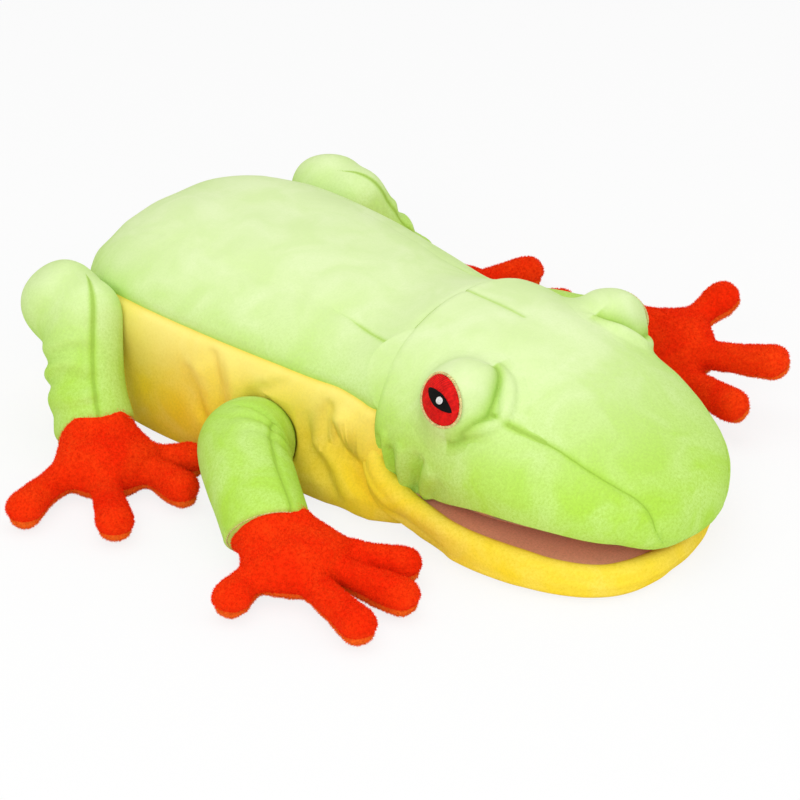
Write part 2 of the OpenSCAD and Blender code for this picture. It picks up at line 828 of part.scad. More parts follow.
// Hind leg: the thigh leaves the hip for the folded knee, and the shin drops from there to the ankle
hip_out = 6.5;
hip = [body_w / 2 + hip_out, neck_y + hip_back, hip_z];
knee = [hip[0] + 13, hip[1] + 14, knee_top - thigh_d / 2];
ankle = [hip[0] + 28.5, hip[1] - 23, wrist_d / 2 - 0.5];
thigh_path = [hip, mix(hip, knee, 1 / 3), mix(hip, knee, 2 / 3), knee];
thigh_radii = [thigh_d / 2, thigh_d / 2 + limb_swell, thigh_d / 2 + limb_swell, thigh_d / 2];
shin_top = knee + [1, -19, -1];
shin_path = [shin_top, shin_top + [4, -3, -12], ankle + [-5, 12, 13], ankle];
shin_radii = [shin_d / 2, shin_d / 2 + limb_swell, shin_d / 2, wrist_d / 2];
leg_ref = [1, 0, 0];

// Rings of the thigh from its open root at the hip to its round end at the knee
function thigh_rings(inset) =
    let (end_dir = bezier_dir(thigh_path, 1), end_r = thigh_radii[3] - inset)
    concat(
        limb_rings(thigh_path, thigh_radii, leg_ref, inset, 1, 3),
        [
            for (f = [30, 55, 78])
                let (r = end_r * cos(f))
                ring(knee + end_r * sin(f) * end_dir, end_dir, leg_ref, r, r, limb_sides)
        ]
    );

module thigh_sleeve(side) {
    color(lime) on_side(side) loft(concat(reverse(thigh_rings(0)), thigh_rings(plush_t)));
}

module thigh_fill(side) {
    color(fill_white) on_side(side) loft(thigh_rings(plush_t + seat));
}

module shin_sleeve(side) {
    outer = limb_rings(shin_path, shin_radii, leg_ref, 0, cuff_stop);
    inner = limb_rings(shin_path, shin_radii, leg_ref, plush_t, cuff_stop);
    color(lime) on_side(side) difference() {
        loft(concat(outer, reverse(inner)));
        loft(thigh_rings(-seat));
    }
}

module shin_fill(side) {
    color(fill_white) on_side(side) difference() {
        loft(limb_rings(shin_path, shin_radii, leg_ref, plush_t + seat, fill_stop));
        loft(thigh_rings(-seat));
        ball(ankle, palm_ball + clearance);
    }
}

// Hand or foot: a palm that grows from a round root, and four digits with round pads
hand_digits = [[83, 42], [5, 55], [-29, 52], [-58, 48]];
foot_digits = [[61, 53], [9, 51], [-44, 42], [-90, 43]];
foot_turn = -60;
palm_high = 12;
function palm_rings(root, dir, inset) =
    let (
        low = pad_d / 2 - 0.5,
        r = palm_ball,
        half = palm_w / 2,
        // Distance from the wrist, half-width, half-height and height of the middle
        sections = [
            for (f = [-75, -50, -25]) [r * sin(f), r * cos(f), r * cos(f), root[2]],
            [0, r, r, root[2]],
            [palm_l * 0.27, r * 0.97, r * 0.94, root[2] - 1],
            [palm_l * 0.62, half * 0.89, palm_high + 0.5, palm_high],
            [palm_l, half, palm_high, palm_high - 0.5],
            [palm_l * 1.34, half * 0.83, palm_high - 2, low + 0.5],
            [palm_l * 1.57, half * 0.4, palm_high - 5, low]
        ]
    )
    [
        for (s = sections)
            ring([root[0], root[1], 0] + s[0] * dir + s[3] * up, dir, up, s[1] - inset, s[2] - inset, 10)
    ];
function digit_rings(centre, turn, length) =
    let (
        dir = [cos(turn), sin(turn), 0],
        r = pad_d / 2,
        base = [centre[0], centre[1], r - 0.5],
        sections = concat(
            [[4, digit_d / 2], [(length - r) * 0.5, digit_d / 2]],
            [for (f = [0, 40, 75]) [length - r + r * sin(f), r * cos(f)]]
        )
    )
    [for (s = sections) ring(base + s[0] * dir, dir, up, s[1], s[1], 8)];

module paw(root, turn, digits) {
    dir = [cos(turn), sin(turn), 0];
    palm = root + palm_l * dir;
    loft(palm_rings(root, dir, 0));
    for (d = digits) loft(digit_rings(palm, turn + d[0], d[1]));
}

paw_box = 300;
module paw_slice(root, turn, digits, low, high) {
    intersection() {
        paw(root, turn, digits);
        translate([root[0] - paw_box / 2, root[1] - paw_box / 2, low]) cube([paw_box, paw_box, high - low]);
    }
}

module paw_part(root, turn, digits, low, high) {
    difference() {
        paw_slice(root, turn, digits, low, high);
        loft(palm_rings(root, [cos(turn), sin(turn), 0], plush_t));
    }
}

module paw_fill(root, turn) {
    loft(palm_rings(root, [cos(turn), sin(turn), 0], plush_t + seat));
}

paw_top = 60;
// The left hand is held off the table: raised with its wrist, rolled outwards and tipped up
module hand_pose(side) {
    hand_side = cross(up, hand_dir);
    on_side(side)
        if (side > 0)
            translate(side_wrist(side)) rotate(left_roll, hand_dir) rotate(left_tip, hand_side * -1)
                rotate(-left_turn)
                translate(-wrist) children();
        else children();
}

module hand_top(side) {
    color(orange_red) hand_pose(side) paw_part(wrist, hand_turn, hand_digits, sole_seam, paw_top);
}

module hand_sole(side) {
    color(sole_orange) hand_pose(side) paw_part(wrist, hand_turn, hand_digits, 0, sole_seam);
}

module hand_fill(side) {
    color(fill_white) hand_pose(side) paw_fill(wrist, hand_turn);
}

module foot_top(side) {
    color(orange_red) on_side(side) paw_part(ankle, foot_turn, foot_digits, sole_seam, paw_top);
}

module foot_sole(side) {
    color(sole_orange) on_side(side) paw_part(ankle, foot_turn, foot_digits, 0, sole_seam);
}

module foot_fill(side) {
    color(fill_white) on_side(side) paw_fill(ankle, foot_turn);
}

back_centre_panel();
back_side_panel_left();
back_side_panel_right();
belly_panel();
body_fill();
glove_lining();
rear_hem();
crown_panel();
cheek_panel_left();
cheek_panel_right();
head_fill();
finger_pocket();
mouth_roof();
upper_mouth_board();
eye_dome(1);  // eye_dome_left
eye_dome(-1);  // eye_dome_right
eyelid(1);  // eyelid_left
eyelid(-1);  // eyelid_right
eye_outline(1);  // eye_outline_left
eye_outline(-1);  // eye_outline_right
iris(1);  // iris_left
iris(-1);  // iris_right
pupil(1);  // pupil_left
pupil(-1);  // pupil_right
glint(1);  // glint_left
glint(-1);  // glint_right
chin_panel();
jaw_fill();
thumb_pocket();
mouth_floor();
lower_mouth_board();
arm_sleeve(1);  // arm_sleeve_left
arm_sleeve(-1);  // arm_sleeve_right
arm_fill(1);  // arm_fill_left
arm_fill(-1);  // arm_fill_right
hand_top(1);  // hand_top_left
hand_top(-1);  // hand_top_right
hand_sole(1);  // hand_sole_left
hand_sole(-1);  // hand_sole_right
hand_fill(1);  // hand_fill_left
hand_fill(-1);  // hand_fill_right
thigh_sleeve(1);  // thigh_sleeve_left
thigh_sleeve(-1);  // thigh_sleeve_right
thigh_fill(1);  // thigh_fill_left
thigh_fill(-1);  // thigh_fill_right
shin_sleeve(1);  // shin_sleeve_left
shin_sleeve(-1);  // shin_sleeve_right
shin_fill(1);  // shin_fill_left
shin_fill(-1);  // shin_fill_right
foot_top(1);  // foot_top_left
foot_top(-1);  // foot_top_right
foot_sole(1);  // foot_sole_left
foot_sole(-1);  // foot_sole_right
foot_fill(1);  // foot_fill_left
foot_fill(-1);  // foot_fill_right
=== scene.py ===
"""Plush tree-frog hand puppet: sewn skins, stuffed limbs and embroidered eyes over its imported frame."""

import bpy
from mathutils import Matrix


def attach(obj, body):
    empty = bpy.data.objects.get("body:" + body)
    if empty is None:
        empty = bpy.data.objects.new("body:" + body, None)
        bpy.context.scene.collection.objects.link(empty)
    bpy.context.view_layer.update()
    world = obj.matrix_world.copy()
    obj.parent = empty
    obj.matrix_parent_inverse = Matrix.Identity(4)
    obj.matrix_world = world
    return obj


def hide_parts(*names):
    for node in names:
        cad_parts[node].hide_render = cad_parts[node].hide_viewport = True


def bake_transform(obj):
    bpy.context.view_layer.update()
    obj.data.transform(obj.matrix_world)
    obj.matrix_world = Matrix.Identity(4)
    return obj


bl_info = {
    "name": "Plush Tree Frog Puppet",
    "version": (1, 0, 0),
    "blender": (4, 5, 0),
    "location": "3D View > Sidebar > Frog",
    "description": "Sews the skins, limbs and eyes of a plush tree-frog hand puppet over its frame",
    "category": "Object",
}

import math

import bmesh
import bpy
import numpy as np
from mathutils import Matrix, Vector

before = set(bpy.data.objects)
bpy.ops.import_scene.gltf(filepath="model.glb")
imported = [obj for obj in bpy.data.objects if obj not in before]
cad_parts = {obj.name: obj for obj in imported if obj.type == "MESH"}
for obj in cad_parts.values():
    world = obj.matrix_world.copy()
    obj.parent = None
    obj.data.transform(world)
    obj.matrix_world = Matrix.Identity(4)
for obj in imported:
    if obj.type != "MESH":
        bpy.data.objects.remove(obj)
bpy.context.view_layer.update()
MM = 0.001


# Settings

def length(label, text, default):
    return bpy.props.FloatProperty(
        name=label, description=text, default=default, subtype="DISTANCE", unit="LENGTH")


def angle(label, text, degrees):
    return bpy.props.FloatProperty(
        name=label, description=text, default=math.radians(degrees), subtype="ANGLE", unit="ROTATION")


def shade(label, text, red, green, blue):
    """Colour setting from the 0 to 255 values of a shade card."""
    def linear(v):
        v /= 255
        return v / 12.92 if v <= 0.04045 else ((v + 0.055) / 1.055) ** 2.4
    return bpy.props.FloatVectorProperty(
        name=label, description=text, default=[linear(v) for v in (red, green, blue)],
        subtype="COLOR", size=3, min=0, max=1)


class FrogSizes(bpy.types.PropertyGroup):
    """Sizes of the puppet."""
    body_l: length("Body length", "From the nodding axis to the rear hem", 0.2)
    body_w: length("Body width", "Across the flanks", 0.146)
    body_h: length("Body height", "Height of the back", 0.091)
    flank_z: length("Flank height", "Height at which the flanks are widest", 0.043)
    neck_w: length("Neck width", "Across the neck", 0.122)
    neck_r: length("Neck radius", "Round end of the neck", 0.041)
    neck_z: length("Neck height", "Height of the nodding axis", 0.046)
    hand_w: length("Hand width", "Width of the glove space", 0.084)
    hand_h: length("Hand height", "Height of the glove space", 0.038)
    opening_z: length("Opening height", "Middle of the rear opening", 0.033)
    opening_wall: length("Opening wall", "Cloth and fill round the opening", 0.005)
    hem_l: length("Hem", "Length of the bound hem", 0.005)
    head_l: length("Head length", "From the nodding axis to the snout", 0.1345)
    head_w: length("Head width", "Across the cheeks", 0.131)
    head_h: length("Head height", "Height of the crown", 0.088)
    head_lap: angle("Head lap", "How far the rear edge of the head stays ahead of the nodding axis", 9)
    mouth_z: length("Mouth height", "Height of the mouth corners", 0.02)
    mouth_back: length("Mouth depth", "Mouth corners ahead of the nodding axis", 0.022)
    upper_slope: angle("Upper lip", "Slope of the upper lip", 1.7)
    jaw_l: length("Jaw length", "From the rear edge to the chin", 0.104)
    jaw_w: length("Jaw width", "Across the jaw", 0.142)
    lower_slope: angle("Lower lip", "Slope of the lower lip", 4.9)
    eye_x: length("Eye spread", "Eye from the middle", 0.047)
    eye_ahead: length("Eye place", "Eye ahead of the nodding axis", 0.046)
    eye_z: length("Eye height", "Middle of the eye dome", 0.066)
    eye_r: length("Eye radius", "Radius of the eye dome", 0.019)
    iris_half: angle("Iris", "Half-width of the iris on the dome", 27)
    arm_d: length("Arm", "Thickness of the arm", 0.041)
    wrist_d: length("Wrist", "Thickness at the wrist", 0.036)
    shoulder_back: length("Shoulder place", "Behind the nodding axis", 0.052)
    shoulder_z: length("Shoulder height", "Height of the shoulder", 0.026)
    arm_out: length("Arm spread", "Wrist outside the shoulder", 0.037)
    arm_ahead: length("Arm reach", "Wrist ahead of the shoulder", 0.046)
    left_raise: length("Left raise", "Left wrist above the right one", 0.006)
    left_reach: length("Left reach", "Left wrist ahead of the right one", 0.008)
    left_roll: angle("Left roll", "Left hand rolled outwards", 30)
    left_tip: angle("Left tip", "Left hand tipped up", 16)
    left_turn: angle("Left turn", "Left hand turned in", 5)
    thigh_d: length("Thigh", "Thickness of the thigh", 0.039)
    shin_d: length("Shin", "Thickness of the shin", 0.036)
    hip_back: length("Hip place", "Behind the nodding axis", 0.149)
    hip_z: length("Hip height", "Height of the hip", 0.046)
    knee_top: length("Knee height", "Top of the folded knee", 0.079)
    palm_l: length("Palm length", "From the wrist", 0.031)
    palm_w: length("Palm width", "Across the palm", 0.049)
    pad_d: length("Toe pad", "Thickness of a toe at its pad", 0.021)
    digit_d: length("Toe", "Thickness of a toe", 0.0185)
    sole_seam: length("Sole seam", "Height of the seam over the sole", 0.006)


class FrogCloth(bpy.types.PropertyGroup):
    """Cloth, pile and thread of the puppet."""
    plush_t: length("Plush", "Thickness of the plush", 0.0016)
    seam_depth: length("Seam depth", "How far a seam is drawn in", 0.0013)
    seam_reach: length("Seam reach", "How wide a seam draws the cloth in", 0.0024)
    pile: length("Pile", "Length of the pile on hands and feet", 0.0009)
    pile_count: bpy.props.FloatProperty(
        name="Pile count", description="Tufts of pile on a square metre", default=2.2e6)
    lime: shade("Lime", "Back, head and limbs", 183, 228, 80)
    # Pale lime serves for brushed patches of pile and also for the painted light that makes the tops paler
    lime_pale: shade("Pale lime", "Brushed pile of the green plush", 229, 245, 190)
    yellow: shade("Yellow", "Belly and chin", 255, 223, 52)
    # Pale yellow serves for brushed patches of pile and also for the painted light that makes the upper
    # belly and chin paler
    yellow_pale: shade("Pale yellow", "Brushed pile of the yellow plush", 255, 238, 140)
    red: shade("Orange red", "Tops of hands and feet", 255, 48, 6)
    red_pale: shade("Pale red", "Brushed pile of the red plush", 255, 98, 22)
    sole: shade("Sole orange", "Soles of hands and feet", 250, 108, 30)
    salmon: shade("Salmon", "Cloth in the mouth", 238, 172, 138)
    lining: shade("Lining", "Cloth of the glove", 196, 192, 180)
    iris: shade("Iris red", "Thread of the iris", 236, 22, 18)
    black: shade("Black thread", "Thread of the pupil", 14, 12, 12)
    white: shade("White thread", "Thread of the glint", 246, 246, 242)
    cream: shade("Cream thread", "Outline and cuff thread", 246, 222, 150)
    board: shade("Board", "Stiffening board in the mouth", 168, 138, 102)


class FrogStage(bpy.types.PropertyGroup):
    """Camera and floor of the picture."""
    view: bpy.props.FloatVectorProperty(
        name="Camera place", description="Where the camera stands", default=(-0.8339, -0.7847, 0.6079),
        size=3, subtype="TRANSLATION", unit="LENGTH")
    field: angle("Field", "Field of view", 16)
    floor: shade("Floor", "Colour of the floor", 246, 246, 246)


def mm(name):
    """One size of the puppet in millimetres."""
    return getattr(bpy.context.scene.frog_sizes, name) / MM


def turn(name):
    """One angle of the puppet in radians."""
    return getattr(bpy.context.scene.frog_sizes, name)


def cloth(name):
    """One setting of the cloth, a colour as a tuple."""
    value = getattr(bpy.context.scene.frog_cloth, name)
    return tuple(value) if hasattr(value, "__len__") else value


def cloth_mm(name):
    """One length of the cloth in millimetres."""
    return cloth(name) / MM


# Shapes, in millimetres

UP = np.array([0.0, 0.0, 1.0])
# Share of the length, share of the width, share of the height, roundness above and below
BODY_SHAPE = [
    [0.120, 0.860, 0.905, 2.0, 6], [0.276, 0.920, 0.940, 2.1, 6.5], [0.444, 0.975, 0.975, 2.25, 6.5],
    [0.607, 1.000, 0.990, 2.4, 6.5], [0.750, 0.985, 1.000, 2.4, 6], [0.867, 0.920, 0.955, 2.3, 5],
    [0.950, 0.785, 0.845, 2.2, 3.2]]
# Share of the length, share of the width, share of the height, height of the widest place above the lip
HEAD_SHAPE = [
    [0.245, 0.975, 0.985, 20], [0.404, 1.000, 0.935, 14], [0.549, 0.965, 0.830, 10.5],
    [0.693, 0.880, 0.700, 8.5], [0.823, 0.730, 0.580, 7], [0.917, 0.540, 0.485, 6],
    [0.975, 0.320, 0.405, 5], [1.000, 0.060, 0.340, 3.5]]
# Share of the length and share of the width
JAW_SHAPE = [
    [0.00, 0.93], [0.12, 0.972], [0.27, 1.000], [0.47, 0.955], [0.67, 0.845], [0.82, 0.675], [0.925, 0.465],
    [0.98, 0.25], [1.00, 0.06]]
# Start and end of each fold in the side view, how far it stands out, and its width
BELLY_FOLDS = [
    ((57, 24), (65, 42), -1.9, 3.0), ((51, 28), (58, 46), 1.4, 3.2), ((44, 28), (51, 55), -2.3, 3.0),
    ((37, 40), (42, 56), 1.3, 3.2), ((28, 42), (8, 56), -3.0, 3.4), ((20, 50), (2, 58), 1.4, 3.0),
    ((-2, 31), (-13, 47), -2.6, 3.2), ((-9, 30), (-22, 46), 1.8, 3.2), ((-12, 32), (-20, 38), -2.4, 3.0),
    ((-24, 42), (-36, 32), 3.4, 6.5), ((-16, 32), (-34, 23), -3.2, 3.6), ((-34, 23), (-54, 9), -3.2, 4.0),
    ((-1, 27), (-20, 12), -2.4, 4.0), ((-6, 30), (-30, 14), 1.8, 4.0)]
CHEEK_PLEATS = [
    ((-45.5, 20), (-43.5, 43), -2.6, 1.8), ((-48.0, 22), (-47, 46), 1.5, 1.8),
    ((-50.8, 19), (-50.4, 40), -3.4, 1.7), ((-55, 22), (-57, 43), 1.7, 2.2),
    ((-59.6, 21), (-67, 41), -3.8, 2.5), ((-66, 24), (-74, 38), 1.3, 3.0), ((-71, 26), (-80, 34), -1.2, 2.6)]
# Turn round the eye, reach from the middle of its patch, rise over the dome and size of the lid
LID = [
    [-262, 113, 2.0, 0.3], [-246, 113, 1.4, 1.6], [-230, 111, 0.8, 2.8], [-214, 106, 0.3, 3.4],
    [-200, 101, 0.3, 3.4], [-186, 95, 1.2, 2.8], [-176, 90, 1.2, 2.1], [-168, 83, 0.2, 2.4],
    [-162, 78, -0.8, 2.9], [-150, 68, -2.4, 3.1], [-138, 62, -3.0, 2.7], [-122, 55, -4.2, 1.8],
    [-105, 51, -5.0, 0.6]]
# Place along an arm, and how far the fold there stands out
ARM_FOLDS = ((0.2, -1.5), (0.27, 0.7), (0.33, -1.2), (0.41, 0.5), (0.47, -0.7))
# Bearing from the heading of the paw, and reach of each digit
HAND_DIGITS = [[83, 42], [5, 55], [-28, 52], [-62, 48]]
FOOT_DIGITS = [[61, 53], [9, 51], [-44, 42], [-90, 43]]
# Headings of the hands and feet in degrees
HAND_TURN, FOOT_TURN = -76, -60
# Whether a side is the left one, its name, and what mirrors a point of the left side on to it
SIDES = ((True, "left", np.array([1, 1, 1])), (False, "right", np.array([-1, 1, 1])))
# The root of the hind leg is drawn in towards the body
HIP_SET = np.array([-2, 6, 0])
# The far cheek seam lies lower than the near one
FAR_SEAM = 0.5
# How much a limb swells between its ends
LIMB_SWELL = 0.3
# Share of its path at which a sleeve ends, and depth of its closed end
CUFF, CUFF_DEPTH = 0.93, 3.0
# Distance over which seams are marked, as dark seam lines with painted shade beside them, and how much
# narrower the marks of body and head are
SEAM_SPAN, FINE_SEAM = 6.0, 1.7
# Heights at which skins and sleeves rest over the table
REST, SLEEVE_REST = 0.1, 0.15
# Way from the puppet to the camera, and shift of the picture
CAMERA_WAY, CAMERA_SHIFT = (-0.653, -0.590, 0.476), (-0.071, 0.083)
# Name, place, size and power of each lamp, and the place they all point to
LAMPS = (
    ("top_light", (-0.15, 0.1, 1.5), 1.6, 7.0), ("key_light", (-1.2, -0.8, 0.8), 0.9, 9),
    ("fill_light", (0.7, -1.2, 0.7), 1.0, 3.2))
LIT_PLACE = (0, 0, 0.04)


def spline(rows, t):
    """Cubic through equal rows, at stations t."""
    rows, t = np.asarray(rows, float), np.asarray(t, float)
    last = len(rows) - 1
    k = np.clip(np.floor(t).astype(int), 0, last - 1)
    u = (t - k)[..., None]
    p0, p1, p2, p3 = rows[np.maximum(k - 1, 0)], rows[k], rows[k + 1], rows[np.minimum(k + 2, last)]
    return 0.5 * (2 * p1 + (p2 - p0) * u + (2 * p0 - 5 * p1 + 4 * p2 - p3) * u ** 2
                  + (3 * p1 - p0 - 3 * p2 + p3) * u ** 3)


def spow(v, e):
    """Power that keeps the sign."""
    return np.sign(v) * np.abs(v) ** e


def unit(v):
    v = np.asarray(v, float)
    return v / np.maximum(np.linalg.norm(v, axis=-1, keepdims=True), 1e-9)


def ease(x):
    """Soft step from 0 to 1."""
    x = np.clip(x, 0, 1)
    return x * x * (3 - 2 * x)


def lumps(p, size, seed):
    """Soft unevenness over points p, mostly from -1 to 1, with lumps about size across."""
    rng = np.random.RandomState(seed)
    total = np.zeros(p.shape[:-1])
    for _ in range(7):
        wave = unit(rng.normal(size=3)) * (2 * math.pi / (size * rng.uniform(0.8, 1.7)))
        total += np.sin(p @ wave + rng.uniform(0, 6.28))
    return total / 4


def folds(p, rows, inner, span):
    """Height of folds along lines in the side view, fading out over span towards the middle."""
    y, z = p[..., 1], p[..., 2]
    made = np.zeros(y.shape)
    for (ay, az), (by, bz), depth, width in rows:
        dy, dz = by - ay, bz - az
        s = np.clip(((y - ay) * dy + (z - az) * dz) / (dy * dy + dz * dz), 0, 1)
        made += depth * np.exp(-((y - ay - s * dy) ** 2 + (z - az - s * dz) ** 2) / width ** 2)
    return made * ease((np.abs(p[..., 0]) - inner) / span)


def grid_normals(p, out):
    """Unit normals over a grid of points, on the side that out points to."""
    n = unit(np.cross(np.gradient(p, axis=1), np.gradient(p, axis=0)))
    return n if (n * out).sum() > 0 else -n


def run_length(p):
    """Distance along each row of a grid from its first column."""
    step = np.linalg.norm(np.diff(p, axis=1), axis=-1)
    return np.concatenate([np.zeros((len(p), 1)), np.cumsum(step, axis=1)], axis=1)


def neck_y():
    return (mm("head_l") - mm("body_l")) / 2


def mouth_y():
    return neck_y() - mm("mouth_back")


def upper_lip(y):
    return mm("mouth_z") + (mouth_y() - y) * math.tan(turn("upper_slope"))


def lower_lip(y):
    return mm("mouth_z") - (mouth_y() - y) * math.tan(turn("lower_slope"))


def body_sections(t):
    """Rows of the body: place, half-width, top, bottom, middle, roundness above and below."""
    t = np.asarray(t, float)
    ny, nr, nz, nw = neck_y(), mm("neck_r"), mm("neck_z"), mm("neck_w") / 2
    sewn, sink, wall = mm("body_l") - mm("hem_l"), -6, mm("opening_wall")
    oz, half, high = mm("opening_z"), mm("hand_w") / 2 + wall, mm("hand_h") / 2 + wall
    rows = [[ny, nw, nz + nr, sink, nz, 2, 4]]
    for s in BODY_SHAPE:
        wide, top = s[1] * mm("body_w") / 2, s[2] * mm("body_h")
        rows.append([ny + s[0] * sewn, wide, top, sink, mm("flank_z"), s[3], s[4]])
    rows += [[ny + sewn, half, oz + high, oz - high, oz, 2.6, 2.6]]
    bend = np.minimum(t, 0) * math.radians(40)
    same = np.ones_like(t)
    front = np.stack([ny + nr * np.sin(bend), nw * np.cos(bend), nz + nr * np.cos(bend), sink * same,
                      nz * same, 2 * same, 4 * same], -1)
    return np.where((t < 0)[..., None], front, spline(rows, np.maximum(t, 0)))


def head_sections(t):
    """Rows of the head: place, half-width, top, middle, roundness."""
    ny, lap = neck_y(), turn("head_lap")
    r, w = mm("neck_r") + 2.5, mm("neck_w") / 2 + 2.5
    rows = [[ny - r * math.sin(lap), w * math.cos(lap), mm("neck_z") + r * math.cos(lap), mm("neck_z"), 2]]
    for s in HEAD_SHAPE:
        y = ny - s[0] * mm("head_l")
        rows.append([y, s[1] * mm("head_w") / 2, s[2] * mm("head_h"), upper_lip(y) + s[3], 2.15])
    return spline(rows, t)


def head_points(t, v):
    """Points at shares v of the way from the left lip over the crown to the right lip."""
    row = head_sections(t)[:, None, :]
    y, half, top, mid, n = (row[..., k] for k in range(5))
    reach = top - mid
    low = -np.arcsin(np.minimum(1, spow((mid - upper_lip(y)) / reach, n / 2)))
    a = low + (math.pi - 2 * low) * v
    return np.stack([half * spow(np.cos(a), 2 / n), y + 0 * a, mid + reach * spow(np.sin(a), 2 / n)], -1)


def shoulder():
    return np.array([mm("body_w") / 2 + 5, neck_y() + mm("shoulder_back"), mm("shoulder_z")])


def wrist(left):
    s = shoulder()
    reach, rise = (mm("left_reach"), mm("left_raise")) if left else (0, 0)
    return np.array([s[0] + mm("arm_out"), s[1] - mm("arm_ahead") - reach, mm("wrist_d") / 2 - 0.5 + rise])


def hip():
    return np.array([mm("body_w") / 2 + 6.5, neck_y() + mm("hip_back"), mm("hip_z")])


def knee():
    return np.array([hip()[0] + 6, hip()[1] + 14, mm("knee_top") - mm("thigh_d") / 2])


def ankle():
    return np.array([hip()[0] + 24.5, hip()[1] - 23, mm("wrist_d") / 2 - 0.5])


def eye_centre():
    return np.array([mm("eye_x"), neck_y() - mm("eye_ahead"), mm("eye_z")])


EYE_FACE = unit([0.86, 0.0, 0.42])


# Meshes

def shell(name, p, out, thick=0.0, wrap=False, seam=None, keep=None):
    """Mesh over a grid of points, or over the faces to keep, turned to out, with a wall inwards if thick."""
    rows, cols = p.shape[:2]
    place = np.arange(rows * cols).reshape(rows, cols)
    if wrap:
        place = np.hstack([place, place[:, :1]])
    quads = np.stack([place[:-1, :-1], place[:-1, 1:], place[1:, 1:], place[1:, :-1]], -1).reshape(-1, 4)
    if keep is not None:
        quads = quads[keep.ravel()]
    points, outs = p.reshape(-1, 3), out.reshape(-1, 3)
    facing = np.cross(points[quads[:, 2]] - points[quads[:, 0]], points[quads[:, 3]] - points[quads[:, 1]])
    if (facing * outs[quads[:, 0]]).sum() < 0:
        quads = quads[:, ::-1]
    marks = None if seam is None else np.clip(1 - seam.ravel() / SEAM_SPAN, 0, 1)
    if thick:
        count = len(points)
        edges = np.concatenate([quads[:, [k, (k + 1) % 4]] for k in range(4)])
        rim = edges[~np.isin(edges[:, 0] * count + edges[:, 1], edges[:, 1] * count + edges[:, 0])]
        sides = np.stack([rim[:, 1], rim[:, 0], rim[:, 0] + count, rim[:, 1] + count], -1)
        points = np.concatenate([points, points - outs * thick])
        quads = np.concatenate([quads, quads[:, ::-1] + count, sides])
        marks = None if seam is None else np.concatenate([marks, marks])
    return clean_mesh(name, points, quads.tolist(), marks=marks)


def clean_mesh(name, points, faces, merge=0.02, marks=None):
    """Mesh from points in millimetres, with doubled points merged and smooth faces."""
    mesh = bpy.data.meshes.new(name)
    mesh.from_pydata((np.asarray(points) * MM).tolist(), [], faces)
    if marks is not None:
        # The seam attribute carries the seams and, on the eye, the crease round the dome; the plush draws
        # them as dark lines with painted shade beside them
        mesh.attributes.new("seam", "FLOAT", "POINT").data.foreach_set("value", np.asarray(marks, float))
    work = bmesh.new()
    work.from_mesh(mesh)
    bmesh.ops.remove_doubles(work, verts=work.verts, dist=merge * MM)
    bmesh.ops.dissolve_degenerate(work, edges=work.edges, dist=merge * MM * 0.5)
    bmesh.ops.delete(work, geom=[v for v in work.verts if not v.link_faces], context="VERTS")
    work.to_mesh(mesh)
    work.free()
    smooth_faces(mesh)
    return mesh


def smooth_faces(mesh):
    mesh.polygons.foreach_set("use_smooth", [True] * len(mesh.polygons))
    mesh.set_sharp_from_angle(angle=math.radians(55))
    mesh.update()


def loft_faces(rows, cols, base=0):
    """Quads over rings that close round, with a fan on the first and last ring."""
    place = base + np.arange(rows * cols).reshape(rows, cols)
    beside = np.roll(place, -1, axis=1)
    quads = np.stack([place[:-1], beside[:-1], beside[1:], place[1:]], -1).reshape(-1, 4)
    return quads.tolist() + [place[0, ::-1].tolist(), place[-1].tolist()]


def place_piece(name, mesh, material):
    piece = bpy.data.objects.new(name, mesh)
    bpy.context.scene.collection.objects.link(piece)
    mesh.materials.clear()
    mesh.materials.append(material)
    return piece


def declare(piece, slot, nodes=(), fill=None):
    """Hides the solids that a piece stands for; the cloth and how full it is are not used."""
    if nodes:
        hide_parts(*nodes)


def sew(piece, body, *terms):
    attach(piece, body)
    declare(piece, *terms)


def joined(name, meshes):
    """One mesh from several, with doubled points merged."""
    work = bmesh.new()
    for mesh in meshes:
        work.from_mesh(mesh)
        bpy.data.meshes.remove(mesh)
    bmesh.ops.remove_doubles(work, verts=work.verts, dist=0.02 * MM)
    bmesh.ops.dissolve_degenerate(work, edges=work.edges, dist=0.01 * MM)
    work.verts.index_update()
    same = {}
    for face in work.faces:
        same.setdefault(frozenset(v.index for v in face.verts), []).append(face)
    inner = [face for faces in same.values() if len(faces) > 1 for face in faces]
    bmesh.ops.delete(work, geom=inner, context="FACES_ONLY")
    mesh = bpy.data.meshes.new(name)
    work.to_mesh(mesh)
    work.free()
    smooth_faces(mesh)
    return mesh


def baked(piece):
    """Replaces a piece's mesh by what its modifiers give, and removes them."""
    graph = bpy.context.evaluated_depsgraph_get()
    mesh = bpy.data.meshes.new_from_object(piece.evaluated_get(graph))
    old = piece.data
    piece.modifiers.clear()
    piece.data = mesh
    bpy.data.meshes.remove(old)


# Materials

class Wire:
    """A node's socket that can stand in a sum."""

    def __init__(self, weave, socket):
        self.weave, self.socket = weave, socket

    def out(self, name):
        return Wire(self.weave, self.socket.node.outputs[name])

    def _sum(self, kind, other, turned=False):
        a, b = (other, self) if turned else (self, other)
        return self.weave.node("ShaderNodeMath", {"operation": kind}, {0: a, 1: b})

    def __add__(self, other):
        return self._sum("ADD", other)

    def __sub__(self, other):
        return self._sum("SUBTRACT", other)

    def __rsub__(self, other):
        return self._sum("SUBTRACT", other, True)

    def __mul__(self, other):
        return self._sum("MULTIPLY", other)

    __radd__, __rmul__ = __add__, __mul__


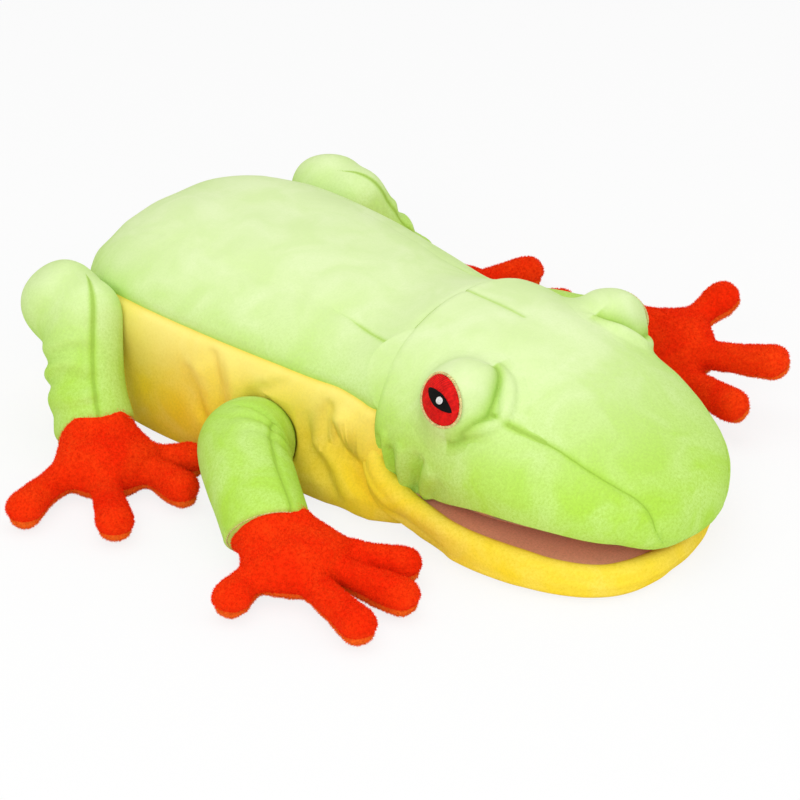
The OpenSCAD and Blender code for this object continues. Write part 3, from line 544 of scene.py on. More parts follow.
class Weave:
    """Adds nodes to a tree of a material or of geometry."""

    def __init__(self, tree):
        self.tree = tree

    def node(self, kind, settings=None, sockets=None, out=0):
        """A new node: its settings first, then the values or links of its sockets."""
        made = self.tree.nodes.new(kind)
        for name, value in (settings or {}).items():
            if name == "stops":
                for k, (place, level) in enumerate(value):
                    stop = made.color_ramp.elements[k] if k < 2 else made.color_ramp.elements.new(place)
                    stop.position, stop.color = place, (level, level, level, 1)
            else:
                setattr(made, name, value)
        for name, value in (sockets or {}).items():
            if isinstance(value, Wire):
                self.tree.links.new(value.socket, made.inputs[name])
            else:
                made.inputs[name].default_value = value
        return Wire(self, made.outputs[out]) if made.outputs else made

    def mix(self, share, a, b):
        """Colour that goes from a to b with share."""
        a, b = ((*c, 1) if isinstance(c, tuple) else c for c in (a, b))
        return self.node("ShaderNodeMix", {"data_type": "RGBA"}, {0: share, 6: a, 7: b}, out=2)


def new_material(name):
    """A material, its nodes, the place on the piece, and its shader node."""
    material = bpy.data.materials.new(name)
    material.use_nodes = True
    weave = Weave(material.node_tree)
    shader = material.node_tree.nodes["Principled BSDF"]
    place = weave.node("ShaderNodeTexCoord").out("Object")
    return material, weave, place, shader


def made_once(make):
    """Lets a cloth that several pieces share be made once."""
    def find(name, *settings):
        if name in bpy.data.materials:
            return bpy.data.materials[name]
        return make(name, *settings)
    return find


def dress(weave, shader, links, values):
    for name, wire in links.items():
        weave.tree.links.new(wire.socket, shader.inputs[name])
    for name, value in values.items():
        shader.inputs[name].default_value = value


def noise(weave, place, scale, detail, rough=0.5, bend=0.0):
    return weave.node("ShaderNodeTexNoise", None, {
        "Vector": place, "Scale": scale, "Detail": detail, "Roughness": rough, "Distortion": bend})


def stretched(weave, value, low, high, settings=None):
    """A value from low to high, spread from 0 to 1."""
    return weave.node("ShaderNodeMapRange", settings, {"Value": value, "From Min": low, "From Max": high})


def bump(weave, strength, distance, height):
    return weave.node("ShaderNodeBump", None, {
        "Strength": strength, "Distance": distance, "Height": height})


def darker(colour, share):
    return tuple(c * share for c in colour)


@made_once
def plush(name, deep, base, pale, grain, tuft, sheen, painted_top_light_from=None):
    """Short pile: grain, small tufts, patches that lie another way, paler at the top as painted light from
    above, dark at the seams with painted shade beside them.
    """
    material, weave, place, shader = new_material(name)
    fine, small = noise(weave, place, 2600, 2, 0.6), noise(weave, place, tuft, 3, 0.62)
    lay = stretched(weave, noise(weave, place, 40, 3, 0.55, 0.8), 0.36, 0.66)
    nap = stretched(weave, small * 0.62 + fine * 0.38, 0.36, 0.62)
    marks = weave.node("ShaderNodeAttribute", {"attribute_name": "seam"}).out("Fac")
    off = (1.0 - marks) * (SEAM_SPAN / 0.55)
    # A narrow dark line along each seam, and a wider band of painted shade beside it where the cloth dips in
    seam, valley_shade = (weave.node("ShaderNodeMath", {"operation": "EXPONENT"}, {0: off * off * share})
                    for share in (-1.0, -0.06))
    brushed_and_lit_share = lay * (0.1 + nap * 0.24)
    # Painted top light: the plush is painted paler between the given heights, as if light from above falls
    # there; the brushed patches stay as they are
    if painted_top_light_from:
        high = weave.node("ShaderNodeSeparateXYZ", None, {0: place}).out("Z")
        top = stretched(weave, high, *painted_top_light_from, {"interpolation_type": "SMOOTHSTEP"})
        brushed_and_lit_share = brushed_and_lit_share * (1.0 - top * 0.5) + top * (0.8 + lay * 0.1)
    # Painted shade: the pile is kept less pale beside seams and creases
    brushed_and_lit_share = brushed_and_lit_share * (1.0 - valley_shade * 0.7)
    colour = weave.mix(brushed_and_lit_share, weave.mix(nap, deep, base), pale)
    # The seam lines and the painted shade beside them darken the colour
    colour = weave.mix(seam * 0.3 + valley_shade * 0.14, colour, darker(deep, 0.5))
    raised = bump(weave, grain, 0.0007, small * 0.7 + fine * 0.45 - seam * 1.0)
    dress(weave, shader, {"Base Color": colour, "Normal": raised, "Roughness": 0.98 - nap * 0.16}, {
        "Specular IOR Level": 0.05, "Sheen Weight": sheen, "Sheen Roughness": 0.45,
        "Sheen Tint": (*pale, 1)})
    return material


def dyed_plush(name, base, deep, pale, *rest):
    """Plush in the colours of the cloth settings; deep is how dark it is between the tufts."""
    return plush(name, darker(cloth(base), deep), cloth(base), cloth(pale), *rest)


# The last two numbers of the green and yellow plush are the heights over which their tops are painted paler,
# as painted light from above
def green_plush():
    return dyed_plush("lime_pile", "lime", 0.86, "lime_pale", 0.22, 900, 0.03, (0.034, 0.096))


def yellow_plush():
    return dyed_plush("yellow_pile", "yellow", 0.86, "yellow_pale", 0.22, 900, 0.03, (0.02, 0.07))


def red_plush():
    return dyed_plush("red_pile", "red", 0.74, "red_pale", 0.5, 700, 0.16)


def sole_plush():
    return dyed_plush("sole_pile", "sole", 0.74, "red_pale", 0.5, 700, 0.16)


def mouth_cloth():
    salmon = cloth("salmon")
    pale = tuple(c * 1.15 for c in salmon)
    return plush("mouth_velour", darker(salmon, 0.78), salmon, pale, 0.2, 1100, 0.2)


@made_once
def woven(name, colour):
    """Plain weave: two sets of threads over and under, with uneven yarn."""
    material, weave, place, shader = new_material(name)
    yarn = {"Vector": place, "Scale": 260, "Distortion": 0.6, "Detail": 1, "Detail Scale": 2}
    warp, weft = (
        weave.node("ShaderNodeTexWave", {"wave_type": "BANDS", "bands_direction": way}, yarn, out=1)
        for way in "XY")
    slub = noise(weave, place, 240, 3)
    height = warp * weft
    light = tuple(min(1, c * 1.15) for c in colour)
    colour_in = weave.mix(height * 0.5 + slub * 0.5, darker(colour, 0.72), light)
    raised = bump(weave, 0.35, 0.0004, height + slub * 0.4)
    dress(weave, shader, {"Base Color": colour_in, "Normal": raised, "Roughness": 0.85 - height * 0.1},
          {"Specular IOR Level": 0.2, "Sheen Weight": 0.1, "Sheen Roughness": 0.5})
    return material


def lining():
    return woven("lining_weave", cloth("lining"))


@made_once
def satin(name, colour, rough=0.6):
    """Satin stitch: close parallel threads that catch the light."""
    material, weave, place, shader = new_material(name)
    turned = weave.node("ShaderNodeMapping", None, {"Vector": place, "Rotation": (0, 0, 0.5)})
    lines = weave.node("ShaderNodeTexWave", {"wave_type": "BANDS", "bands_direction": "Z"}, {
        "Vector": turned, "Scale": 720, "Distortion": 2.2, "Detail": 2, "Detail Scale": 1.4}, out=1)
    loose = noise(weave, place, 520, 3)
    speckle = stretched(weave, lines * 0.3 + loose * 0.7, 0.3, 0.66)
    light = tuple(min(1, c * 1.15 + 0.003) for c in colour)
    colour_in = weave.mix(speckle, darker(colour, 0.5), light)
    raised = bump(weave, 0.6, 0.0003, lines + loose * 0.5)
    dress(weave, shader, {"Base Color": colour_in, "Normal": raised, "Roughness": rough + loose * 0.15},
          {"Specular IOR Level": 0.12})
    return material


def cream_thread():
    return satin("cream_satin", cloth("cream"))


@made_once
def card(name, colour):
    """Grey-brown card with short fibres."""
    material, weave, place, shader = new_material(name)
    long = weave.node("ShaderNodeMapping", None, {"Vector": place, "Scale": (1, 0.2, 1)})
    fibre = noise(weave, long, 900, 4)
    colour_in = weave.mix(fibre, darker(colour, 0.7), colour)
    raised = bump(weave, 0.2, 0.0003, fibre)
    dress(weave, shader, {"Base Color": colour_in, "Normal": raised, "Roughness": 0.75 + fibre * 0.2}, {})
    return material


def board_card():
    return card("board_card", cloth("board"))


# Threads and pile that follow a line or a surface

def node_group(name, inputs):
    """Empty geometry tree with its named inputs."""
    tree = bpy.data.node_groups.new(name, "GeometryNodeTree")
    tree.interface.new_socket("Geometry", in_out="INPUT", socket_type="NodeSocketGeometry")
    for label, kind, value in inputs:
        tree.interface.new_socket(label, in_out="INPUT", socket_type=kind).default_value = value
    tree.interface.new_socket("Geometry", in_out="OUTPUT", socket_type="NodeSocketGeometry")
    weave = Weave(tree)
    entry = weave.node("NodeGroupInput")
    return tree, weave, entry


def close_group(weave, made, material):
    real = weave.node("GeometryNodeRealizeInstances", None, {0: made})
    dyed = weave.node("GeometryNodeSetMaterial", None, {0: real, "Material": material})
    weave.node("NodeGroupOutput", None, {0: dyed})


def grow(name, source, tree, values, material):
    """Runs a geometry tree on a copy of source and keeps the result as a plain mesh."""
    work = bpy.data.objects.new(name, source.data.copy())
    bpy.context.scene.collection.objects.link(work)
    step = work.modifiers.new("grow", "NODES")
    step.node_group = tree
    for item in tree.interface.items_tree:
        if item.item_type == "SOCKET" and item.in_out == "INPUT" and item.name in values:
            step[item.identifier] = values[item.name]
    graph = bpy.context.evaluated_depsgraph_get()
    mesh = bpy.data.meshes.new_from_object(work.evaluated_get(graph))
    bpy.data.objects.remove(work)
    mesh.name = name
    if not len(mesh.polygons):
        raise RuntimeError(f"{name} came out empty")
    return place_piece(name, mesh, material)


def pile_tree(material):
    """Short tapered fibres that stand on a surface, each leaning its own way."""
    name = "pile_" + material.name
    if name in bpy.data.node_groups:
        return bpy.data.node_groups[name]
    tree, weave, entry = node_group(name, [
        ("Count", "NodeSocketFloat", 1e6), ("Length", "NodeSocketFloat", 0.0015),
        ("Seed", "NodeSocketInt", 1)])
    spots = weave.node("GeometryNodeDistributePointsOnFaces", {"distribute_method": "RANDOM"}, {
        "Mesh": entry.out("Geometry"), "Density": entry.out("Count"), "Seed": entry.out("Seed")})
    fibre = weave.node("GeometryNodeMeshCone", {"fill_type": "NONE"}, {
        "Vertices": 3, "Side Segments": 1, "Radius Top": 0.0, "Radius Bottom": 0.00016,
        "Depth": entry.out("Length")})
    lean = weave.node("FunctionNodeRandomValue", {"data_type": "FLOAT_VECTOR"}, {
        0: (-0.75, -0.75, 0.0), 1: (0.75, 0.75, 6.28), "Seed": entry.out("Seed")})
    leaning = weave.node("FunctionNodeEulerToRotation", None, {0: lean})
    turned = weave.node("FunctionNodeRotateRotation", {"rotation_space": "LOCAL"}, {
        0: spots.out("Rotation"), 1: leaning})
    size = weave.node("FunctionNodeRandomValue", {"data_type": "FLOAT"}, {
        2: 0.6, 3: 1.2, "Seed": entry.out("Seed")}, out=1)
    made = weave.node("GeometryNodeInstanceOnPoints", None, {
        "Points": spots, "Instance": fibre, "Rotation": turned, "Scale": size})
    close_group(weave, made, material)
    return tree


def stitch_tree(material):
    """Short rounded stitches laid end to end along a line."""
    name = "stitch_" + material.name
    if name in bpy.data.node_groups:
        return bpy.data.node_groups[name]
    tree, weave, entry = node_group(name, [
        ("Spacing", "NodeSocketFloat", 0.002), ("Length", "NodeSocketFloat", 0.0018),
        ("Thread", "NodeSocketFloat", 0.0005)])
    line = weave.node("GeometryNodeMeshToCurve", None, {"Mesh": entry.out("Geometry")})
    spots = weave.node("GeometryNodeCurveToPoints", {"mode": "LENGTH"}, {
        "Curve": line, "Length": entry.out("Spacing")})
    bead = weave.node("GeometryNodeMeshUVSphere", None, {"Segments": 6, "Rings": 4, "Radius": 0.5})
    shape = weave.node("ShaderNodeCombineXYZ", None, {
        "X": entry.out("Thread"), "Y": entry.out("Thread"), "Z": entry.out("Length")})
    made = weave.node("GeometryNodeInstanceOnPoints", None, {
        "Points": spots, "Instance": bead, "Rotation": spots.out("Rotation"), "Scale": shape})
    smooth = weave.node("GeometryNodeSetShadeSmooth", None, {0: made})
    close_group(weave, smooth, material)
    return tree


def stitches(name, points, material, spacing, long, thread):
    """Closed row of stitches along points in millimetres."""
    mesh = bpy.data.meshes.new(name + "_line")
    count = len(points)
    mesh.from_pydata((np.asarray(points) * MM).tolist(), [(k, (k + 1) % count) for k in range(count)], [])
    line = bpy.data.objects.new(name + "_line", mesh)
    piece = grow(name, line, stitch_tree(material), {
        "Spacing": spacing * MM, "Length": long * MM, "Thread": thread * MM}, material)
    bpy.data.objects.remove(line)
    return piece


# Body

def flank_angle(t):
    return 11 + 9 * ease((t + 0.2) / 1.2) + 1.5 * np.maximum(0, t / 8) ** 3


def back_angle(t):
    return 46 + 12 * ease((t + 0.3) / 2)


def socket(p, centre, radius):
    """Presses points out of the round root of a limb, with a soft rim."""
    rim = 0.9
    away = p - centre
    r = np.linalg.norm(away, axis=-1, keepdims=True)
    pressed = r + rim * np.log1p(np.exp(np.clip((radius - r) / rim, -40, 40)))
    return centre + away / np.maximum(r, 1e-6) * pressed


def body_grid():
    """Turns round the section, points, normals and seam columns of the whole body skin."""
    table = np.linspace(-1, 8, 500)
    places = body_sections(table)[:, 0]
    t = np.interp(np.linspace(places[0], places[-1], 172), places, table)
    flank = flank_angle(t)
    edges = [flank, back_angle(t), 180 - back_angle(t), 180 - flank, 360 + flank]
    counts = [30, 62, 30, 168]
    parts = []
    for k, count in enumerate(counts):
        s = np.linspace(0, 1, count + 1)[None, :]
        part = edges[k][:, None] * (1 - s) + edges[k + 1][:, None] * s
        parts.append(part if k == 3 else part[:, :-1])
    a = np.radians(np.concatenate(parts, axis=1))
    seams = np.concatenate([[0], np.cumsum(counts)])
    row = body_sections(t)[:, None, :]
    y, half, top, low, mid, n_top, n_low = (row[..., k] for k in range(7))
    above = np.sin(a) >= 0
    # The cloth of the throat stays broad below the cheeks, where the chin goes on from it
    broad = np.interp(t, [-1, -0.5, -0.1, 1.0, 2.0], [58, 62, 68, 69, 68.5])[:, None]
    share = ease(-np.sin(a) / 0.3) * ease((2.2 - t) / 0.7)[:, None]
    half = half * (1 - share) + np.maximum(broad, half) * share
    n_low = n_low + (6 - n_low) * ease((0.9 - t) / 0.7)[:, None]
    e = 2 / np.where(above, n_top, n_low)
    reach = np.where(above, top - mid, mid - low)
    p = np.stack([half * spow(np.cos(a), e), y + 0 * a, np.maximum(0, mid + reach * spow(np.sin(a), e))], -1)
    centre = np.stack([0 * t, body_sections(t)[:, 0], body_sections(t)[:, 4]], -1)[:, None, :]
    n = grid_normals(p, p - centre)
    n[:, 0] = n[:, -1] = unit(n[:, 0] + n[:, -1])
    return a, p, n, seams


def round_neck(p):
    """Keeps the neck round above the throat, to leave room for the cheeks."""
    axis = np.array([0, neck_y(), mm("neck_z")])
    off = p - axis
    x, y, z = np.moveaxis(off, -1, 0)
    far = np.sqrt((x / (mm("neck_w") / 2)) ** 2 + (y ** 2 + z ** 2) / mm("neck_r") ** 2)
    collar = mm("mouth_z") + 0.8 * (p[..., 1] + 60)
    room = ease((p[..., 2] - collar) / 5 + 0.2) * ease((neck_y() - 4 - p[..., 1]) / 4) * (far > 1)
    return p + (off / np.maximum(far, 1e-6)[..., None] + axis - p) * room[..., None]


def build_body():
    """Back in three panels and the belly, with their seams, folds and the roots of the limbs."""
    a, p, n, seams = body_grid()
    run = run_length(p)
    near = [np.abs(run - run[:, c][:, None]) for c in seams]
    flank = np.minimum.reduce([near[0], near[3], near[4]])
    back = np.minimum(near[1], near[2])
    depth, reach = cloth_mm("seam_depth"), cloth_mm("seam_reach")
    lift = 0.7 * lumps(p, 60, 3) + 0.25 * lumps(p, 24, 5)
    lift += 0.8 * (1 - np.exp(-np.minimum(flank, back) / 11))
    sunk = 1 - ease((p[..., 1] + 12) / 36)
    lift -= depth * np.exp(-(flank / reach) ** 2) + 0.6 * depth * sunk * np.exp(-(back / (reach * 0.8)) ** 2)
    lift += 0.22 * lumps(p, 9, 11) * np.exp(-np.minimum(flank, back) / 6)
    below = np.zeros(lift.shape)
    below[:, seams[3]:] = 1
    lift += below * folds(p, BELLY_FOLDS, 36, 14) * ease(flank / 9)
    # The rear end is gathered into the hem
    rear = p[-1, 0, 1] - p[..., 1]
    lift += 0.9 * np.cos(15 * a + 0.8 * np.sin(3 * a)) * np.exp(-rear / 11) * ease(rear / 2)
    lift *= ease(rear / 3)
    p = p + n * lift[..., None]
    p[..., 2] = np.maximum(p[..., 2], REST)
    for _, _, mirror in SIDES:
        p = socket(p, shoulder() * mirror, mm("arm_d") / 2 - 0.5)
        p = socket(p, (hip() + HIP_SET) * mirror, mm("thigh_d") / 2 - 5)
    p = round_neck(p)
    # The front edge is tucked in behind the lip of the chin
    p[..., 0] *= 1 - 0.14 * ease((-46 - p[..., 1]) / 11)
    n = grid_normals(p, n)
    n[:, 0] = n[:, -1] = unit(n[:, 0] + n[:, -1])
    marks = FINE_SEAM * np.minimum(flank + 0.45, back + 0.3 + 4 * (1 - sunk))
    names = ["back_side_plush_left", "back_centre_plush", "back_side_plush_right", "belly_plush"]
    for k, name in enumerate(names):
        cols = slice(seams[k], seams[k + 1] + 1)
        mesh = shell(name, p[:, cols], n[:, cols], cloth_mm("plush_t"), seam=marks[:, cols])
        if name == "belly_plush":
            piece = place_piece(name, mesh, yellow_plush())
            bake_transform(piece)
            declare(piece, "yellow_plush", ["belly_panel", "body_fill"], 0.7)
        else:
            piece = place_piece(name, mesh, green_plush())
            sew(piece, "torso", "green_plush", [name.replace("plush", "panel")], 0.7)


def hand_points(t, a, outset):
    """Points of the glove space, from the neck to the rear opening."""
    share = (t + 1) / 9
    narrow = 2 * (mm("neck_w") / 2 * math.cos(math.radians(40)) - 8)
    half = (narrow + (mm("hand_w") - narrow) * np.minimum(1, 3 * share)) / 2
    mid = mm("neck_z") + (mm("opening_z") - mm("neck_z")) * share
    return np.stack([
        (half + outset) * spow(np.cos(a), 2 / 2.6), body_sections(t)[..., 0] + 0 * a,
        mid + (mm("hand_h") / 2 + outset) * spow(np.sin(a), 2 / 2.6)], -1)


def build_glove():
    """Glove lining with soft gathers."""
    t = np.linspace(-1, 8, 110)[:, None]
    a = np.linspace(0, 2 * math.pi, 120, endpoint=False)[None, :]
    p = hand_points(t + 0 * a, a + 0 * t, 0.9)
    middle = p.mean(axis=1, keepdims=True)
    p = p - unit(p - middle) * (0.35 + 0.35 * np.cos(9 * a + 2 * np.sin(0.9 * t) + t))[..., None]
    mesh = shell("glove_cloth", p, unit(p - middle), 0.7, wrap=True)
    glove = place_piece("glove_cloth", mesh, lining())
    sew(glove, "torso", "lining_cloth", ["glove_lining"])


def build_hem():
    """Bound hem round the rear opening, with its stitches."""
    s = np.linspace(0, 2 * math.pi, 26)[:, None]
    a = np.linspace(0, 2 * math.pi, 220, endpoint=False)[None, :]
    wall, half = mm("opening_wall") + 0.6, mm("hem_l") / 2
    gathers = 0.35 * np.cos(22 * a + 1.5 * np.sin(4 * a))
    outset = wall / 2 + (wall / 2 + gathers * 0.6) * np.cos(s)
    p = hand_points(8 + 0 * (s + a), a + 0 * s, outset)
    p[..., 1] += half + 0.1 + (half - 0.1) * spow(np.sin(s), 0.7) + 0 * a
    core = hand_points(8 + 0 * (s + a), a + 0 * s, wall / 2)
    core[..., 1] += half
    hem = place_piece("rear_binding", shell("rear_binding", p, unit(p - core), wrap=True), green_plush())
    sew(hem, "torso", "green_plush", ["rear_hem"], 0.8)
    line = hand_points(8 + 0 * a[0], a[0], wall + 0.35)
    line[:, 1] += mm("hem_l") * 0.45
    sew(stitches("hem_stitches", line, cream_thread(), 3.2, 2.6, 0.55), "torso", "cream_thread")


def build_pockets():
    """Pockets for the fingers and the thumb, and the card of the mouth boards."""
    taper = [[0, 1], [0.35, 0.99], [0.7, 0.93], [0.9, 0.78], [1, 0.6]]
    # Cloth and board of the mouth with the gaps between them, and the chin under the thumb
    low, under = 1.2 + 0.2 + 1.5 + 0.2, 2.4
    high = 9.5
    fingers = pocket("finger_sleeve", 44, 62, 38, lambda y: high + 0 * y,
                     lambda y: upper_lip(y) + low + high, taper, 0.75)
    sew(fingers, "head", "lining_cloth", ["finger_pocket"])
    thumb = pocket("thumb_sleeve", mm("mouth_back") + 18, 52, 22, lambda y: (lower_lip(y) - 3.1 - under) / 2,
                   lambda y: under + (lower_lip(y) - 3.1 - under) / 2, taper, 0.8)
    sew(thumb, "jaw", "lining_cloth", ["thumb_pocket"])
    for node in ("upper_mouth_board", "lower_mouth_board"):
        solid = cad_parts[node]
        solid.data.materials.clear()
        solid.data.materials.append(board_card())


def pocket(name, back, long, half, high, mid, taper, flat):
    """Flat closed sleeve of lining cloth with a hollow for the fingers."""
    s = np.linspace(0, 4, 30)
    rows = spline(taper, s)
    a = np.linspace(0, 2 * math.pi, 60, endpoint=False)[None, :]

    def rings(inset):
        y = neck_y() - back - rows[:, 0] * (long - inset)
        rise = high(y) * (flat + (1 - flat) * (rows[:, 1] - 0.6) / 0.4) - inset
        wide = half * rows[:, 1] - inset
        return np.stack([wide[:, None] * spow(np.cos(a), 2 / 3), y[:, None] + 0 * a,
                         mid(y)[:, None] + rise[:, None] * spow(np.sin(a), 2 / 3)], -1)
    outer, inner = rings(0.1), rings(1.1)
    end = outer[-1:].mean(axis=1, keepdims=True) + 0 * outer[-1:]
    deep = inner[-1:].mean(axis=1, keepdims=True) + 0 * inner[-1:]
    p = np.concatenate([end, outer[::-1], inner, deep])
    middle = outer.mean(axis=1, keepdims=True)
    out = np.concatenate([
        end * 0 + [0, -1, 0], (outer - middle)[::-1], middle - inner, deep * 0 + [0, 1, 0]])
    return place_piece(name, shell(name, p, unit(out), wrap=True), lining())


# Head

def cheek_share(t):
    """Share of the section at which the cheek seam runs, down to the lip beside the snout."""
    round_off = np.sqrt(np.clip(1 - (np.maximum(0, t - 5.4) / 1.65) ** 4, 0, 1))
    return np.maximum(0.31 * round_off - 0.03 * ease((4 - t) / 1.5), 0.004)


def nod(v, back):
    """Vectors turned back about the neck."""
    y, z = v[:, 1], v[:, 2]
    return np.stack([v[:, 0], y * np.cos(back) + z * np.sin(back), z * np.cos(back) - y * np.sin(back)], -1)


def lip_arch(y):
    """How far the upper lip is arched above its chord, and drawn down at the snout."""
    ahead = mouth_y() - y
    share = np.where(ahead < 48, (ahead - 6) / 42, 1 + (ahead - 48) / 53)
    arch = 8.4 * np.sin(math.pi / 2 * np.clip(share, 0, 2))
    return arch - 5.4 * ease((ahead - 98) / 12) - 4 * ease((9 - ahead) / 10)


# Columns of a cheek and of the crown, columns of the rolled lip, and rows of the lap over the nape
CHEEK_COLS, CROWN_COLS, LIP_COLS, LAP_ROWS = 46, 84, 6, 4


def head_grid():
    """Stations, points and normals of the head skin, from the left lip over the crown to the right lip."""
    table = np.linspace(0, 8, 400)
    places = -head_sections(table)[:, 0]
    t = np.interp(np.linspace(places[0], places[-1], 116), places, table)
    t = np.concatenate([np.zeros(LAP_ROWS), t[:-1], np.linspace(t[-2], 8, 5)[1:]])
    seam = cheek_share(t)[:, None]
    far = FAR_SEAM * seam
    cheek, crown = (np.linspace(0, 1, count + 1)[None, :] for count in (CHEEK_COLS, CROWN_COLS))
    over = far + (1 - far - seam) * crown
    v = np.concatenate([far * cheek, over[:, 1:-1], 1 - seam * cheek[:, ::-1]], axis=1)
    p = head_points(t, v)
    above = p[..., 2] - upper_lip(p[..., 1])
    p[..., 2] += lip_arch(p[..., 1]) * np.exp(-(above / 18) ** 2)
    middle = np.stack([0 * t, head_sections(t)[:, 0], head_sections(t)[:, 3]], -1)[:, None, :]
    n = grid_normals(p[LAP_ROWS:], (p - middle)[LAP_ROWS:])
    n = np.concatenate([np.repeat(n[:1], LAP_ROWS, axis=0), n])
    # Over the nape the rear edge laps a little further back
    axis = np.array([0, neck_y(), mm("neck_z")])
    first = p[LAP_ROWS]
    for k in range(LAP_ROWS):
        back = math.radians(1.5 * (LAP_ROWS - k)) * ease((first[:, 2] - mm("neck_z")) / 30)
        p[k], n[k] = axis + nod(first - axis, back), nod(n[LAP_ROWS], back)
    return t, p, n


def build_head():
    """Crown and cheeks, with their seams, the pleats of the cheeks and the rolled lip."""
    t, p, n = head_grid()
    run = run_length(p)
    cuts = [CHEEK_COLS, CHEEK_COLS + CROWN_COLS]
    to_seam = np.minimum(*(np.abs(run - run[:, c][:, None]) for c in cuts))
    to_seam = to_seam + 12 * ease((p[..., 1] - eye_centre()[1] + 9) / 5)
    to_seam = to_seam + 12 * ease((t - 6.9) / 0.15)[:, None]
    depth, reach = cloth_mm("seam_depth"), cloth_mm("seam_reach")
    eye = np.minimum(*(np.linalg.norm(p - eye_centre() * mirror, axis=-1) for _, _, mirror in SIDES))
    calm = ease((eye - 25) / 12)
    lift = (0.6 * lumps(p, 55, 21) + 0.2 * lumps(p, 22, 23)) * calm
    lift += 0.7 * (1 - np.exp(-to_seam / 11)) * calm
    lift -= 0.7 * depth * np.exp(-(to_seam / (reach * 0.8)) ** 2)
    lift += 0.16 * lumps(p, 8, 27) * np.exp(-to_seam / 5) * calm
    # Short dart in the middle of the crown, from the neck forwards
    ahead = p[:1, :, 1] - p[..., 1]
    dart = np.abs(p[..., 0]) + 20 * ease((ahead - 34) / 14) + 20 * (p[..., 2] < 40)
    lift -= 0.7 * depth * np.exp(-(dart / (reach * 0.7)) ** 2)
    lift += folds(p, CHEEK_PLEATS, 25, 10)
    # The rear edge is drawn in on to the neck
    lift -= 2.1 * np.clip(1 - ahead / 4.5, 0, 1) ** 2
    lift *= ease((p[..., 1] - p[-1, 0, 1]) / 3 + 0.15)
    to_seam = FINE_SEAM * np.minimum(np.minimum(to_seam, dart + 0.3), ahead + 0.3)
    p = p + n * lift[..., None]
    tip = np.mean(p[-1], axis=0) + [0, -0.35, 0]
    p = np.concatenate([p, 0.45 * p[-1:] + 0.55 * tip + [0, -0.15, 0], tip + 0 * p[-1:]])
    n = unit(np.concatenate([n, np.repeat(n[-1:], 2, axis=0) * 0 + [0, -1, 0]]))
    p, n = roll_lip(p, n, 1.2)
    to_seam = np.pad(to_seam, ((0, 2), (LIP_COLS, LIP_COLS)), constant_values=SEAM_SPAN)
    cuts = [0, LIP_COLS + cuts[0], LIP_COLS + cuts[1], p.shape[1] - 1]
    last = int(np.searchsorted(t, 7.05)) + 1
    for k, name in enumerate(["cheek_plush_left", "crown_plush", "cheek_plush_right"]):
        keep = np.zeros((p.shape[0] - 1, p.shape[1] - 1), bool)
        keep[:last - 1, cuts[k]:cuts[k + 1]] = True
        # Beyond the cheek seams the crown also has the rolled lip
        keep[last - 1:] = k == 1
        mesh = shell(name, p, n, cloth_mm("plush_t"), seam=to_seam, keep=keep)
        piece = place_piece(name, mesh, green_plush())
        solids = [name.replace("plush", "panel")] + (["head_fill"] if k == 1 else [])
        sew(piece, "head", "green_plush", solids, 0.75)


def roll_lip(p, n, radius):
    """Adds columns at both edges of a skin that roll its lip down and inwards."""
    made, outs = [], []
    for edge in (0, -1):
        inward = -unit(n[:, edge] * [1, 1, 0])
        rolled, facing = [], []
        for k in range(1, LIP_COLS + 1):
            f = math.radians(190) * k / LIP_COLS
            facing.append(unit(-inward * math.cos(f) - UP * math.sin(f)))
            rolled.append(p[:, edge] + radius * (inward + facing[-1]))
        order = slice(None, None, -1) if edge == 0 else slice(None)
        made.append(np.stack(rolled[order], axis=1))
        outs.append(np.stack(facing[order], axis=1))
    p = np.concatenate([made[0], p, made[1]], axis=1)
    return p, np.concatenate([outs[0], n, outs[1]], axis=1)


def build_mouth_roof():
    """Cloth on the roof of the mouth, drawn up to the arched lip."""
    t = np.linspace(0.35, 7.7, 70)
    row = head_points(t, np.array([[0.0]]) + 0 * t[:, None])[:, 0]
    s = np.linspace(-1, 1, 80)[None, :]
    half = (row[:, 0] - 2.0)[:, None]
    y = row[:, 1][:, None] + 0 * s
    edge = ease((np.abs(half * s) - half + 8) / 6.5)
    z = upper_lip(y) + 0.1 - 0.35 * (1 + np.cos(3 * s + y / 9)) * (1 - s ** 4) + lip_arch(y) * edge
    p = np.stack([half * s, y, z], -1)
    roof = place_piece("mouth_roof_cloth", shell("mouth_roof_cloth", p, p * 0 - UP, 0.9), mouth_cloth())
    sew(roof, "head", "mouth_cloth", ["mouth_roof"])


# Jaw

def chin_skew(y):
    """How far the soft chin is pushed to the right of the puppet where it rests on the table."""
    share = (mouth_y() - 5 - np.asarray(y, float)) / mm("jaw_l")
    return -17 * np.clip((share - 0.5) / 0.5, 0, 1) ** 2


